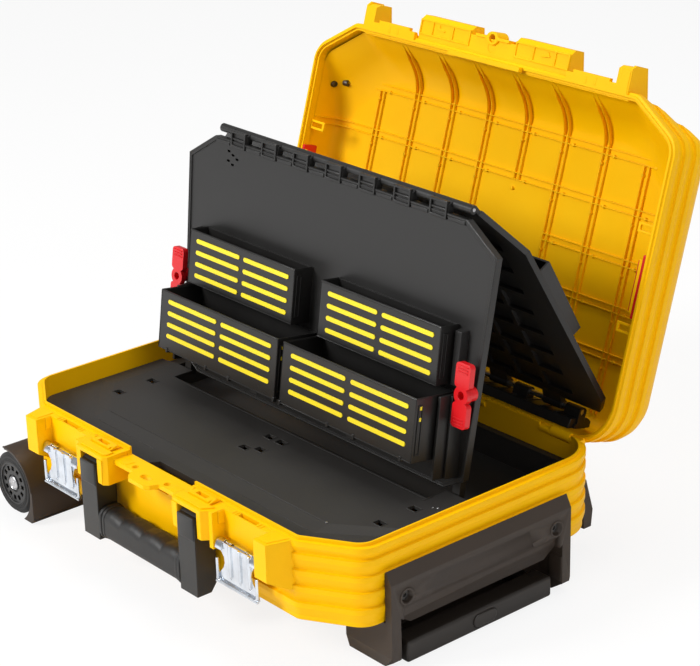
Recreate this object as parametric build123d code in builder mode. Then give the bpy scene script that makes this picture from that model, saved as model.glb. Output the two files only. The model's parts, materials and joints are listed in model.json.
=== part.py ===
from build123d import *
from math import atan2, cos, degrees, hypot, radians, sin
import os

# Wheeled hard tool case: ribbed shells, folding tool panels, carry and pull handles
os.makedirs("parts", exist_ok=True)

# ---------------------------------------------------------------- driving dimensions, mm
# Place of the closed case in the row's frame
RIM_Z = 126.5               # parting plane above the floor
CASE_Y = -56.2              # centre line of the case, ahead of the origin
# Shells
HALF_X = 258.0              # outer half length at the parting plane
FRONT_Y = 165.0             # outer front wall, from the centre line
BACK_Y = 168.0              # outer back wall, from the centre line
CUT_X = 56.0                # cut front corners, along the length
CUT_Y = 33.6                # cut front corners, across the depth
BACK_R = 46.0               # rounded back corners
CUT_FRONT_R = 12.0          # rounding where a cut corner meets the front wall
CUT_SIDE_R = 23.0           # rounding where it meets the end wall
WALL = 5.0                  # shell wall
FLOOR_T = 4.0               # bottom of the base, top of the lid
BASE_DEPTH = 78.5           # base below the parting plane
LEDGE_Z = 27.5              # ledge inside the base that carries floor and well
LEDGE_W = 5.0               # its width
LID_DEPTH = 58.0            # lid above the parting plane
LID_GAP = 0.6               # gap between the closed rims
LID_SLOPE_Z = 14.0          # height where the lid's front starts to slope back
LID_SLOPE_Y = 36.0          # how far the slope goes back
LID_EDGE = 9.0              # bevel round the lid's top
BEAD_W = 14.5               # moulded shingles round the walls
BEAD_OUT = 2.5
BEAD_LEDGE = 0.8            # rise of the ledge that faces the rim
BEAD_FLAT = 5.0             # straight part below the ledge
BEAD_PITCH = 16.0
BASE_BEADS = 4
BASE_BEAD_Z = 11.6          # top of the first base shingle, below the rim
LID_BEADS = 3
LID_BEAD_Z = 2.5            # start of the first lid shingle, above the rim
TONGUE_T = 2.2              # tongue on the base's rim, inside the lid's
TONGUE_H = 3.0
TONGUE_PLAY = 0.4
MID_HALF = 52.0             # lowered middle of the front rim
MID_DROP = 5.0
PLAIN_HALF = 104.0          # the front wall has no shingles behind the handle
# Lid hinge
HINGE_Y = 166.4
HINGE_Z = -2.4
HINGE_R = 5.0               # knuckle radius
HINGE_PIN_R = 2.2
HINGE_CENTRES = (-205.0, -75.0, 75.0, 205.0)
LID_KNUCKLE = 26.0          # length of the lid's knuckle
BASE_KNUCKLE = 13.0         # length of each base knuckle beside it
LID_OPEN = 106.4            # degrees, lid at rest
FIT = 0.05                  # radial running clearance
SEAT = 0.3                  # gap where one piece stands on another
SIDE_GAP = 0.5              # play along a hinge
# Front of the base
BOSS_Y = 192.0              # face of the handle bosses
BAY_X = (109.5, 174.0)      # latch bay, inner and outer side
BAY_Y = 173.0               # wall behind the latch
BAY_Z = 27.0                # its height
EAR_Z = 37.0                # bottom of the ears that hold the latch pin
OUTER_BOSS_Z = 49.0
MID_FLANGE_Y = 181.0
FLANGE_T = 4.5
# Draw latches
LATCH_X = 141.75            # centre of the bay
LATCH_W = 61.0
LATCH_Y = 180.3             # pin axis
LATCH_Z = 29.7
LATCH_PIN_R = 2.0
LATCH_LEN = 36.5            # pin to hook bar
LATCH_PLATE = 33.0          # pin to the end of the plate
LATCH_PLATE_T = 1.6
CLAW_R = 1.6
LIP_HALF = 24.0             # half width of the lid's lip
# Carry handle
ARM_X = (66.0, 92.0)        # inner and outer side of an arm
ARM_T = 24.0                # thickness of an arm, front to back
HANDLE_Y = 182.3            # pin axis
HANDLE_Z = 20.5
HANDLE_PIN_R = 3.0
HANDLE_BOTTOM = 91.0        # lowest edge below the rim
ARM_GAP = 1.2
GRIP_FRONT = 194.0          # front and back of the rubber grip
GRIP_BACK = 168.0
GRIP_TOP = 57.0             # crest of the finger bumps, below the rim
GRIP_LOW = 90.0             # underside
GRIP_EDGE_R = 10.0
GRIP_CORE_R = 8.0
GRIP_BUMPS = 4
GRIP_BUMP_H = 2.6
GRIP_STEPS = 4              # sections in each bump
# Floor of the base
PANEL_TOP = 16.0            # plateau below the rim
PANEL_EDGE = 18.5           # margin at the walls, below the rim
PANEL_T = 3.0
PANEL_PLAY = 0.8
PLATEAU_HALF_X = 228.0
PLATEAU_FRONT = 102.0
PLATEAU_STEP = 19.0         # run of the bevel round the plateau
PLATEAU_BACK = -6.0         # where the floor gives way to the well
EAR_IN = 198.0              # floor ears beside the well
EAR_BACK = 20.6
WELL_T = 2.5
WELL_HALF_X = 241.0
WELL_DEPTH = 51.5           # below the rim
# Tool panels
FOOT_Y = 22.0               # front edge of the front panel's foot
FOOT_Z = -17.0
PANEL_TILT = 8.1            # degrees from upright
PANEL_LEN = 266.0           # foot to the axis of the top hinge
PANEL_THK = 7.0
REAR_THK = 6.0
FOLD_GAP = 1.5              # from the top hinge's axis to each panel
PANEL_TOP_X = 229.0
PANEL_LOW_X = 216.0
PANEL_FOOT_X = 192.0
PANEL_FOOT_S = 1.2          # lower edge, clear of the bar when the panels are folded
APEX_PIN_R = 1.8
APEX_R = 4.4
APEX_KNUCKLES = 15
APEX_HALF = 186.0
BAR_Y = 146.0               # panel bar on the lid, in the closed lid's frame
BAR_Z = 26.0
BAR_R = 5.0
BAR_ROD_R = 3.0
BAR_HALF = 201.0            # half length of the bar, between the front panel's feet
POCKET_WALL = 2.0
LOW_POCKET_X = (4.0, 196.0)
LOW_POCKET_S = (35.0, 97.0)
LOW_POCKET_DEEP = 50.0
UP_POCKET_X = (20.0, 190.0)
UP_POCKET_S = (104.0, 160.0)
UP_POCKET_DEEP = 22.0
STRIPE_T = 0.8
STRIPE_H = 4.6
STRIPE_PITCH = 12.2
STRIPE_ROWS = 4
REAR_POCKET_X = (5.0, 226.0)
REAR_POCKET_S = (108.0, 196.0)
REAR_POCKET_DEEP = 16.0
CATCH_X = 217.0             # red turn catches on the front panel
CATCH_S = 102.0
CATCH_RISE = 10.0
CATCH_T = 6.0
CATCH_PIN_R = 3.0
# Wheels
WHEEL_X = -237.0
WHEEL_R = 33.0
WHEEL_W = 24.0
WHEEL_FACE = (186.0, 200.5)  # outer faces, front and rear, from the centre line
RIM_R = 22.5
HUB_R = 10.5
HUB_DEEP = 2.4              # hub face, behind the wheel's face
CAP_R = 7.5                 # caps on the axle's ends
CAP_T = 1.6
AXLE_R = 5.0
HOUSING_LEFT = -258.0
HOUSING_Y = (190.0, 204.5)  # ends of the housing, front and rear
FENDER_R = 42.0             # outside of the fender over a wheel
FENDER_TIP = -242.0         # its edge, towards the end of the case
ARCH_R = 38.5               # room round the wheel
# Pull handle
TUBE_Y = 78.0
TUBE_R = (10.5, 8.8, 7.1)   # fixed, middle and inner tube
TUBE_T = 1.5
TUBE_X = (-194.7, 205.7)    # fixed tubes, end to end
BRACKET_X = 269.2
BRACKET_HALF = 113.0
BRACKET_TOP = 27.0
BRACKET_BEVEL = 12.0
WINDOW_HALF = 102.0
WINDOW_TOP = 75.0           # at the legs
LIP_FROM = 84.4             # the bar's lower lip between the legs
LIP_Z = 87.0
LEG_BACK = 206.0
SCREW_Y = 94.1
SCREW_Z = 55.6
SCREW_R = 4.6
SCREW_DEEP = 6.5            # counterbore in the bracket
PULL_X = (245.0, 266.0)
PULL_HALF = 91.5
PULL_H = 21.0
BUTTON_L = 29.0
BUTTON_H = 13.0
BUTTON_TRAVEL = 3.0
# Rear feet
REAR_FOOT_X = (-160.0, 217.0)
REAR_FOOT_W = 26.0

# ---------------------------------------------------------------- frames and small helpers
BASE = Plane(origin=(0, CASE_Y, RIM_Z))


def swung(frame, y, z, angle):
    """The frame turned by angle about an X axis through (y, z)."""
    c = cos(radians(angle))
    s = sin(radians(angle))
    moved = frame.from_local_coords((0, y - y * c + z * s, z - y * s - z * c))
    return Plane(origin=moved, x_dir=frame.x_dir, z_dir=frame.z_dir * c - frame.y_dir * s)


def side(frame, x):
    """Plane facing +X; its sketch axes are the frame's y and z."""
    return Plane(
        origin=frame.from_local_coords((x, 0, 0)), x_dir=frame.y_dir, z_dir=frame.x_dir
    )


def facing(frame, y):
    """Plane facing the front; its sketch axes are the frame's x and z."""
    return Plane(
        origin=frame.from_local_coords((0, y, 0)), x_dir=frame.x_dir, z_dir=-frame.y_dir
    )


def face_of(points):
    """A closed polygon in the active sketch."""
    with BuildLine() as outline:
        Polyline(*points, close=True)
    make_face(outline.edges())


def prism(plane, depth, points, mode=Mode.ADD):
    """A polygon on a plane, extruded along its normal."""
    with BuildSketch(plane) as profile:
        face_of(points)
    extrude(profile.sketch, amount=depth, mode=mode)


def box(frame, low, high, mode=Mode.ADD):
    """A block between two corners of a frame."""
    with BuildSketch(frame.offset(low[2])) as profile:
        with Locations(((low[0] + high[0]) / 2, (low[1] + high[1]) / 2)):
            Rectangle(high[0] - low[0], high[1] - low[1])
    extrude(profile.sketch, amount=high[2] - low[2], mode=mode)


def disc(plane, depth, centre, radius, mode=Mode.ADD):
    """A round bar or bore along a plane's normal."""
    with BuildSketch(plane) as profile:
        with Locations(centre):
            Circle(radius)
    extrude(profile.sketch, amount=depth, mode=mode)


def finish(builder, name):
    """Label a piece and write it."""
    builder.part.label = name
    export_step(builder.part, f"parts/{name}.step")


LID = swung(BASE, HINGE_Y, HINGE_Z, -LID_OPEN)
TILT_S = sin(radians(PANEL_TILT))
TILT_C = cos(radians(PANEL_TILT))
FRONT_PANEL = Plane(
    origin=BASE.from_local_coords((0, FOOT_Y, FOOT_Z)),
    x_dir=(1, 0, 0),
    z_dir=(0, -TILT_C, TILT_S),
)
AXIS_BACK = PANEL_THK + FOLD_GAP
APEX = FRONT_PANEL.from_local_coords((0, PANEL_LEN, -AXIS_BACK))
BAR = LID.from_local_coords((0, BAR_Y, BAR_Z))
REAR_LEN = hypot(APEX.Y - BAR.Y, APEX.Z - BAR.Z)
REAR_PANEL = Plane(
    origin=BAR, x_dir=(1, 0, 0), z_dir=(0, BAR.Z - APEX.Z, APEX.Y - BAR.Y)
)


def case_outline(inset=0.0):
    """Plan of the shells: cut corners at the front, round ones at the back."""
    half = HALF_X - inset
    front = inset - FRONT_Y
    back = BACK_Y - inset
    length = hypot(CUT_X, CUT_Y)
    nx = CUT_Y / length
    ny = -CUT_X / length
    reach = nx * (HALF_X - CUT_X) - ny * FRONT_Y - inset
    cut_x = (reach - ny * front) / nx
    cut_y = (reach - nx * half) / ny
    with BuildLine() as plan:
        Polyline(
            (cut_x, front), (half, cut_y), (half, back), (-half, back),
            (-half, cut_y), (-cut_x, front), close=True,
        )
    outline = make_face(plan.edges())
    outline = fillet(outline.vertices().group_by(Axis.Y)[-1], max(BACK_R - inset, 2))
    outline = fillet(outline.vertices().group_by(Axis.Y)[1], max(CUT_SIDE_R - inset, 2))
    fillet(outline.vertices().group_by(Axis.Y)[0], max(CUT_FRONT_R - inset, 2))


def band(frame, steps):
    """A moulded band round the shell, through (height, outset) steps."""
    sections = []
    for z, outset in steps:
        with BuildSketch(frame.offset(z)) as section:
            case_outline(-outset)
        sections.append(section.sketch.face())
    loft(sections, ruled=True)


def shingle(frame, start, away):
    """One shingle: a ledge towards the rim, a flat, and a long taper away from it."""
    band(frame, [
        (away * start, 0.0), (away * (start + BEAD_LEDGE), BEAD_OUT),
        (away * (start + BEAD_LEDGE + BEAD_FLAT), BEAD_OUT), (away * (start + BEAD_W), 0.0),
    ])


def knuckle_spans(centre):
    """Lid knuckle and the two base knuckles of one hinge, as (start, end) along X."""
    half = LID_KNUCKLE / 2
    lid_span = (centre - half, centre + half)
    left = (centre - half - SIDE_GAP - BASE_KNUCKLE, centre - half - SIDE_GAP)
    right = (centre + half + SIDE_GAP, centre + half + SIDE_GAP + BASE_KNUCKLE)
    return lid_span, left, right


# ---------------------------------------------------------------- base shell
def front_bosses(s):
    """Handle boss, latch bay and outer boss on one side of the front; s is the side."""
    wall = -FRONT_Y + 2
    skin = -0.5
    prism(BASE.offset(-30), 30 + skin, [
        (s * 53, wall), (s * 53, -BOSS_Y + 4), (s * 57, -BOSS_Y), (s * 99, -BOSS_Y),
        (s * BAY_X[0], -BOSS_Y + 14), (s * BAY_X[0], wall),
    ])
    ear = BAY_X[0] - 5.5
    prism(BASE.offset(-EAR_Z), EAR_Z + skin, [
        (s * ear, wall), (s * ear, -LATCH_Y - 6), (s * BAY_X[0], -LATCH_Y - 6),
        (s * BAY_X[0], wall),
    ])
    prism(BASE.offset(-OUTER_BOSS_Z), OUTER_BOSS_Z + skin, [
        (s * BAY_X[1], wall), (s * BAY_X[1], -BOSS_Y + 2), (s * 192, -BOSS_Y + 1.5),
        (s * 200, -FRONT_Y), (s * 202, wall),
    ])
    prism(side(BASE, s * BAY_X[0] if s > 0 else -BAY_X[1]), BAY_X[1] - BAY_X[0], [
        (wall, skin), (-BAY_Y, skin), (-BAY_Y, -BAY_Z), (wall, -BAY_Z - 7),
    ])
    # taper under the outer boss
    prism(side(BASE, s * BAY_X[1] if s > 0 else -202.1), 202.1 - BAY_X[1], [
        (-BOSS_Y - 1, -OUTER_BOSS_Z + 12.5), (-FRONT_Y - BEAD_OUT - 0.5, -OUTER_BOSS_Z - 1),
        (-BOSS_Y - 1, -OUTER_BOSS_Z - 1),
    ], Mode.SUBTRACT)
    # slot for the handle's arm, open to the front and below
    low = min(s * (ARM_X[0] - ARM_GAP), s * (ARM_X[1] + ARM_GAP))
    high = max(s * (ARM_X[0] - ARM_GAP), s * (ARM_X[1] + ARM_GAP))
    box(BASE, (low, -BOSS_Y - 4, -40), (high, -FRONT_Y - 3, -FLANGE_T), Mode.SUBTRACT)
    # window in the bay's flange
    middle = s * LATCH_X
    box(BASE, (middle - 13, -171.5, -20), (middle + 13, -166.5, 0), Mode.SUBTRACT)
    # raised catch frame on the handle boss, with its hole
    box(BASE, (s * 79 - 15, -178, skin), (s * 79 + 15, -168.2, 3))
    box(BASE, (s * 79 - 8, -175.5, -3.5), (s * 79 + 8, -170.5, 4), Mode.SUBTRACT)


with BuildPart() as base_shell:
    # collar under the rim, open at the back for the lid's swing
    band(BASE, [(0, BEAD_OUT), (-BEAD_FLAT, BEAD_OUT), (1.2 - BASE_BEAD_Z, 0)])
    box(BASE, (-HALF_X - 10, BACK_Y - WALL, -BASE_BEAD_Z), (HALF_X + 10, BACK_Y + 10, 1),
        Mode.SUBTRACT)
    with BuildSketch(BASE.offset(-BASE_DEPTH)):
        case_outline()
    extrude(amount=BASE_DEPTH)
    # tongue that stands inside the lid's rim
    with BuildSketch(BASE.offset(-1)):
        case_outline(WALL - TONGUE_T)
    extrude(amount=TONGUE_H + 1)
    for row in range(BASE_BEADS):
        shingle(BASE, BASE_BEAD_Z + row * BEAD_PITCH, -1)
    box(BASE, (-PLAIN_HALF, -FRONT_Y - BEAD_OUT - 1, -BASE_DEPTH), (PLAIN_HALF, -FRONT_Y, 0),
        Mode.SUBTRACT)
    for s in (-1, 1):
        front_bosses(s)
    # the front rim is lower between the handle bosses
    box(BASE, (-MID_HALF, -BOSS_Y, -MID_DROP), (MID_HALF, 10 - FRONT_Y, TONGUE_H + 1),
        Mode.SUBTRACT)
    # flange and tab there, with their three holes
    low = -MID_DROP - FLANGE_T
    box(BASE, (-54, -MID_FLANGE_Y, low), (54, -FRONT_Y + 2, -MID_DROP))
    prism(BASE.offset(low), FLANGE_T, [
        (-21, -MID_FLANGE_Y + 1), (-17, -MID_FLANGE_Y - 8), (-12, -MID_FLANGE_Y - 12),
        (12, -MID_FLANGE_Y - 12), (17, -MID_FLANGE_Y - 8), (21, -MID_FLANGE_Y + 1),
    ])
    with BuildSketch(BASE.offset(low - 1)):
        with Locations((-25.6, -174.6), (25.6, -174.6)):
            Circle(3.4)
        with Locations((0, -180.5)):
            SlotOverall(14, 7.5)
    extrude(amount=FLANGE_T + 2, mode=Mode.SUBTRACT)
    # cavity: wide above the ledge, narrower below it
    with BuildSketch(BASE.offset(-BASE_DEPTH + FLOOR_T)):
        case_outline(WALL + LEDGE_W)
    extrude(amount=BASE_DEPTH, mode=Mode.SUBTRACT)
    with BuildSketch(BASE.offset(-LEDGE_Z)):
        case_outline(WALL)
    extrude(amount=LEDGE_Z + TONGUE_H + 1, mode=Mode.SUBTRACT)
    # hinge knuckles, and room for the lid's
    for centre in HINGE_CENTRES:
        lid_span, left, right = knuckle_spans(centre)
        for start, end in (left, right):
            disc(side(BASE, start), end - start, (HINGE_Y, HINGE_Z), HINGE_R)
        gap = lid_span[1] - lid_span[0] + 2 * SIDE_GAP
        disc(side(BASE, lid_span[0] - SIDE_GAP), gap, (HINGE_Y, HINGE_Z), HINGE_R + 0.6,
             Mode.SUBTRACT)
        # the tongue stops beside the knuckles
        box(BASE, (left[0] - 1, BACK_Y - WALL - 1, 0), (right[1] + 1, BACK_Y, TONGUE_H + 1),
            Mode.SUBTRACT)
        length = right[1] - left[0]
        disc(side(BASE, left[0] + 2), length - 4, (HINGE_Y, HINGE_Z), HINGE_PIN_R + FIT,
             Mode.SUBTRACT)
    # bores for the handle and latch pins
    for s in (-1, 1):
        start = 58 if s > 0 else -100
        disc(side(BASE, start), 42, (-HANDLE_Y, -HANDLE_Z), HANDLE_PIN_R + FIT, Mode.SUBTRACT)
        start = BAY_X[0] - 4.5 if s > 0 else -BAY_X[1] - 4.5
        disc(side(BASE, start), BAY_X[1] - BAY_X[0] + 9, (-LATCH_Y, -LATCH_Z),
             LATCH_PIN_R + FIT, Mode.SUBTRACT)
    # screw holes for the pull bracket
    with BuildSketch(side(BASE, HALF_X - WALL - LEDGE_W - 1)):
        with Locations((-SCREW_Y, -SCREW_Z), (SCREW_Y, -SCREW_Z)):
            Circle(SCREW_R / 2 + FIT)
    extrude(amount=20, mode=Mode.SUBTRACT)
finish(base_shell, "base_shell")


# ---------------------------------------------------------------- floor panel and rear well
def floor_rim():
    """Edge of the floor: the cavity's plan, cut off behind the ears."""
    case_outline(WALL + PANEL_PLAY)
    with Locations((0, EAR_BACK + HALF_X)):
        Rectangle(2 * HALF_X, 2 * HALF_X, mode=Mode.SUBTRACT)


def plateau(inset):
    """The raised part of the floor."""
    x = PLATEAU_HALF_X - inset
    face_of([
        (-x, EAR_BACK), (-x, -60), (-175, -PLATEAU_FRONT + inset),
        (175, -PLATEAU_FRONT + inset), (x, -60), (x, EAR_BACK),
    ])


SLOT_SPOTS = ((-205, -69), (205, -69), (-205, -27), (205, -27), (-7.5, -58), (7.5, -50),
              (-9, -25), (9, -25))

with BuildPart() as floor_panel:
    with BuildSketch(BASE.offset(-LEDGE_Z + SEAT)):
        floor_rim()
    extrude(amount=LEDGE_Z - SEAT - PANEL_EDGE)
    with BuildSketch(BASE.offset(-PANEL_EDGE)):
        plateau(-PLATEAU_STEP)
    with BuildSketch(BASE.offset(-PANEL_TOP)):
        plateau(0)
    loft(ruled=True)
    with BuildSketch(BASE.offset(-LEDGE_Z + SEAT)):
        face_of([
            (-HALF_X + 17, EAR_BACK + 1), (-HALF_X + 17, -106), (-176, -144), (176, -144),
            (HALF_X - 17, -106), (HALF_X - 17, EAR_BACK + 1),
        ])
    with BuildSketch(BASE.offset(-PANEL_TOP - PANEL_T)):
        face_of([
            (-PLATEAU_HALF_X + 3, EAR_BACK + 1), (-PLATEAU_HALF_X + 3, -58),
            (-172, -PLATEAU_FRONT + 4), (172, -PLATEAU_FRONT + 4), (PLATEAU_HALF_X - 3, -58),
            (PLATEAU_HALF_X - 3, EAR_BACK + 1),
        ])
    loft(ruled=True, mode=Mode.SUBTRACT)
    # the floor stops short of the well between the ears
    box(BASE, (-EAR_IN, PLATEAU_BACK, -40), (EAR_IN, 60, 0), Mode.SUBTRACT)
    # finger cut-out, open to the front edge
    prism(BASE.offset(-40), 40, [(-59, -161), (-43, -134), (43, -134), (59, -161)],
          Mode.SUBTRACT)
    # slots for dividers
    with BuildSketch(BASE.offset(-40)):
        with Locations(*SLOT_SPOTS):
            Rectangle(11, 8)
    extrude(amount=40, mode=Mode.SUBTRACT)
finish(floor_panel, "floor_panel")

WELL_FRONT = PLATEAU_BACK + SEAT
WELL_BACK = BACK_Y - WALL - LEDGE_W - PANEL_PLAY


def well_block(profile, half, inset):
    """The well's shape between its end walls, rounded like the case at the back."""
    with BuildPart() as block:
        prism(side(BASE, -half), 2 * half, profile)
        with BuildSketch(BASE.offset(-BASE_DEPTH)) as plan:
            case_outline(inset)
        extrude(plan.sketch, amount=BASE_DEPTH + 5, mode=Mode.INTERSECT)
    return block.part


with BuildPart() as rear_well:
    add(well_block([
        (WELL_FRONT, -PANEL_TOP), (WELL_FRONT, -28), (12, -36),
        (45, -WELL_DEPTH - WELL_T), (WELL_BACK - 3, -WELL_DEPTH - WELL_T),
        (WELL_BACK, -LEDGE_Z + SEAT), (WELL_BACK, -PANEL_TOP),
    ], WELL_HALF_X, WALL + LEDGE_W + PANEL_PLAY))
    # flange that lies on the ledge round the back
    with BuildSketch(BASE.offset(-LEDGE_Z + SEAT)):
        case_outline(WALL + PANEL_PLAY)
        with Locations((0, EAR_BACK + 9 - HALF_X)):
            Rectangle(2 * HALF_X, 2 * HALF_X, mode=Mode.SUBTRACT)
    extrude(amount=3 - SEAT)
    # the rim is level with the flange behind the floor, and nothing lies under its ears
    box(BASE, (-HALF_X, 14, -LEDGE_Z + 3), (HALF_X, BACK_Y, 0), Mode.SUBTRACT)
    for s in (-1, 1):
        low = EAR_IN if s > 0 else -HALF_X
        box(BASE, (low, -20, -70), (low + HALF_X - EAR_IN, EAR_BACK + SEAT, 0), Mode.SUBTRACT)
    add(well_block([
        (WELL_FRONT + WELL_T, 0), (WELL_FRONT + WELL_T, -PANEL_TOP - 3), (14, -34),
        (46, -WELL_DEPTH), (WELL_BACK - WELL_T - 2, -WELL_DEPTH),
        (WELL_BACK - WELL_T, -LEDGE_Z), (WELL_BACK - WELL_T, 0),
    ], WELL_HALF_X - WELL_T, WALL + LEDGE_W + PANEL_PLAY + WELL_T), mode=Mode.SUBTRACT)
finish(rear_well, "rear_well")

# ---------------------------------------------------------------- hinge pins
with BuildPart() as hinge_pins:
    for centre in HINGE_CENTRES:
        lid_span, left, right = knuckle_spans(centre)
        disc(side(BASE, left[0] + 2.3), right[1] - left[0] - 4.6, (HINGE_Y, HINGE_Z),
             HINGE_PIN_R)
finish(hinge_pins, "hinge_pins")


# ---------------------------------------------------------------- lid
def lid_front_slope(start_y, start_z, top_z, mode=Mode.SUBTRACT):
    """Take away what lies in front of the lid's sloping front."""
    rise = LID_DEPTH - LID_SLOPE_Z
    run = LID_SLOPE_Y * (top_z - start_z) / rise
    prism(side(LID, -HALF_X - 20), 2 * HALF_X + 40, [
        (start_y, start_z), (start_y + run, top_z), (start_y - 60, top_z),
        (start_y - 60, start_z),
    ], mode)


with BuildPart() as lid_cavity:
    with BuildSketch(LID.offset(LID_GAP)):
        case_outline(WALL)
    extrude(amount=LID_DEPTH - FLOOR_T - LID_GAP - LID_EDGE)
    with BuildSketch(LID.offset(LID_DEPTH - FLOOR_T - LID_EDGE)):
        case_outline(WALL)
    with BuildSketch(LID.offset(LID_DEPTH - FLOOR_T)):
        case_outline(WALL + LID_EDGE * 0.6)
    loft(ruled=True)
    lid_front_slope(-FRONT_Y + WALL, LID_SLOPE_Z - 2, LID_DEPTH + 1)
    # room for the base's tongue
    with BuildSketch(LID.offset(LID_GAP - 0.1)):
        case_outline(WALL - TONGUE_T - TONGUE_PLAY)
    extrude(amount=TONGUE_H + 0.1)

with BuildPart() as lid_shell:
    with BuildSketch(LID.offset(LID_GAP)):
        case_outline()
    extrude(amount=LID_DEPTH - LID_GAP - LID_EDGE)
    with BuildSketch(LID.offset(LID_DEPTH - LID_EDGE)):
        case_outline()
    with BuildSketch(LID.offset(LID_DEPTH)):
        case_outline(LID_EDGE * 0.6)
    loft(ruled=True)
    for row in range(LID_BEADS):
        shingle(LID, LID_BEAD_Z + row * BEAD_PITCH, 1)
    lid_front_slope(-FRONT_Y, LID_SLOPE_Z, LID_DEPTH + 1)
    # keeper lips, ears and centre block along the front edge
    for s in (-1, 1):
        start = BAY_X[0] if s > 0 else -BAY_X[1]
        prism(side(LID, start), BAY_X[1] - BAY_X[0], [
            (-FRONT_Y + 2, LID_GAP), (-BAY_Y, LID_GAP), (-BAY_Y, 4), (-FRONT_Y + 2, 12),
        ])
        # the lip the latch's bar hooks over, between the bar's legs
        prism(side(LID, s * LATCH_X - LIP_HALF), 2 * LIP_HALF, [
            (-FRONT_Y + 2, LID_GAP), (-176, LID_GAP), (-176, 4.7), (-172, 4.7),
            (-FRONT_Y + 2, 12),
        ])
        ear = min(s * BAY_X[1], s * (BAY_X[1] + 15))
        prism(side(LID, ear), 15, [
            (-FRONT_Y + 2, LID_GAP), (-188, LID_GAP), (-191, 6), (-191, 22),
            (-FRONT_Y + 12, 32), (-FRONT_Y + 12, LID_GAP),
        ])
    prism(side(LID, -BAY_X[0] + 2), 2 * BAY_X[0] - 4, [
        (-FRONT_Y + 3, 5), (-188, 5), (-193, 10), (-193, 22), (-FRONT_Y + 14, 34),
        (-FRONT_Y + 3, 14),
    ])
    # the rim reaches down over the lowered middle of the base's
    box(LID, (0.5 - MID_HALF, -FRONT_Y, LID_GAP - MID_DROP), (MID_HALF - 0.5, WALL - FRONT_Y, 6))
    # the block is stepped back in the middle and holds the lock's bore
    box(LID, (-32, -196, 0), (32, -185, 40), Mode.SUBTRACT)
    disc(LID.offset(0), 20, (0, -177), 5.5, Mode.SUBTRACT)
    add(lid_cavity.part, mode=Mode.SUBTRACT)
    # rib grid inside the top
    top = LID_DEPTH - FLOOR_T
    for x in (-192.5, -137.5, -82.5, -27.5, 27.5, 82.5, 137.5, 192.5):
        for offset in (-2.4, 2.4):
            box(LID, (x + offset - 0.6, -112, top - 1.4), (x + offset + 0.6, 152, top + 0.5))
    for y in (-60, 0, 60, 115):
        for offset in (-2.4, 2.4):
            box(LID, (-236, y + offset - 0.6, top - 1.4), (236, y + offset + 0.6, top + 0.5))
    # hinge: lid knuckles, and room for the base's
    for centre in HINGE_CENTRES:
        lid_span, left, right = knuckle_spans(centre)
        disc(side(LID, lid_span[0]), LID_KNUCKLE, (HINGE_Y, HINGE_Z), HINGE_R)
        for start, end in (left, right):
            disc(side(LID, start - SIDE_GAP), end - start + 2 * SIDE_GAP, (HINGE_Y, HINGE_Z),
                 HINGE_R + 0.6, Mode.SUBTRACT)
        disc(side(LID, lid_span[0] - 1), LID_KNUCKLE + 2, (HINGE_Y, HINGE_Z),
             HINGE_PIN_R + FIT, Mode.SUBTRACT)
finish(lid_shell, "lid_shell")

# Bar along the lid's back wall that carries the rear panel
with BuildPart() as panel_bar:
    inner_back = BACK_Y - WALL
    with BuildSketch(side(LID, -BAR_HALF)):
        face_of([
            (inner_back - SEAT, BAR_Z - 8), (inner_back - SEAT, BAR_Z + 8),
            (inner_back - 5, BAR_Z + 8), (inner_back - 5, BAR_Z - 8),
        ])
    extrude(amount=2 * BAR_HALF)
    for x in (-BAR_HALF, -130, -10, 110, BAR_HALF - 20):
        with BuildSketch(side(LID, x)):
            face_of([
                (inner_back - 4, BAR_Z - 5), (BAR_Y, BAR_Z - 5), (BAR_Y, BAR_Z + 5),
                (inner_back - 4, BAR_Z + 5),
            ])
            with Locations((BAR_Y, BAR_Z)):
                Circle(BAR_R)
        extrude(amount=20)
    disc(side(LID, -BAR_HALF - 1), 2 * BAR_HALF + 2, (BAR_Y, BAR_Z), BAR_ROD_R + FIT,
         Mode.SUBTRACT)
finish(panel_bar, "panel_bar")

with BuildPart() as panel_bar_rod:
    disc(side(LID, -BAR_HALF + 1), 2 * BAR_HALF - 2, (BAR_Y, BAR_Z), BAR_ROD_R)
finish(panel_bar_rod, "panel_bar_rod")

# Red keepers on the lid's side walls
for name, s in (("lid_keeper_left", -1), ("lid_keeper_right", 1)):
    with BuildPart() as keeper:
        wall_x = HALF_X - WALL - SEAT
        low = min(s * (wall_x - 9), s * wall_x)
        box(LID, (low, -18, 6), (low + 9, 32, 12))
        low = min(s * (wall_x - 3), s * wall_x)
        box(LID, (low, -24, 4), (low + 3, 38, 22))
        fillet(keeper.edges().filter_by(Axis.X), 1.2)
    finish(keeper, name)

# ---------------------------------------------------------------- rear tool panel
REAR_TOP = REAR_LEN - 8


def rear_outline():
    """Rear panel: cut corners at the top, slightly wider below."""
    face_of([
        (-226, 10), (226, 10), (238, 30), (PANEL_TOP_X, REAR_TOP - 36), (186, REAR_TOP),
        (-186, REAR_TOP), (-PANEL_TOP_X, REAR_TOP - 36), (-238, 30),
    ])


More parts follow.
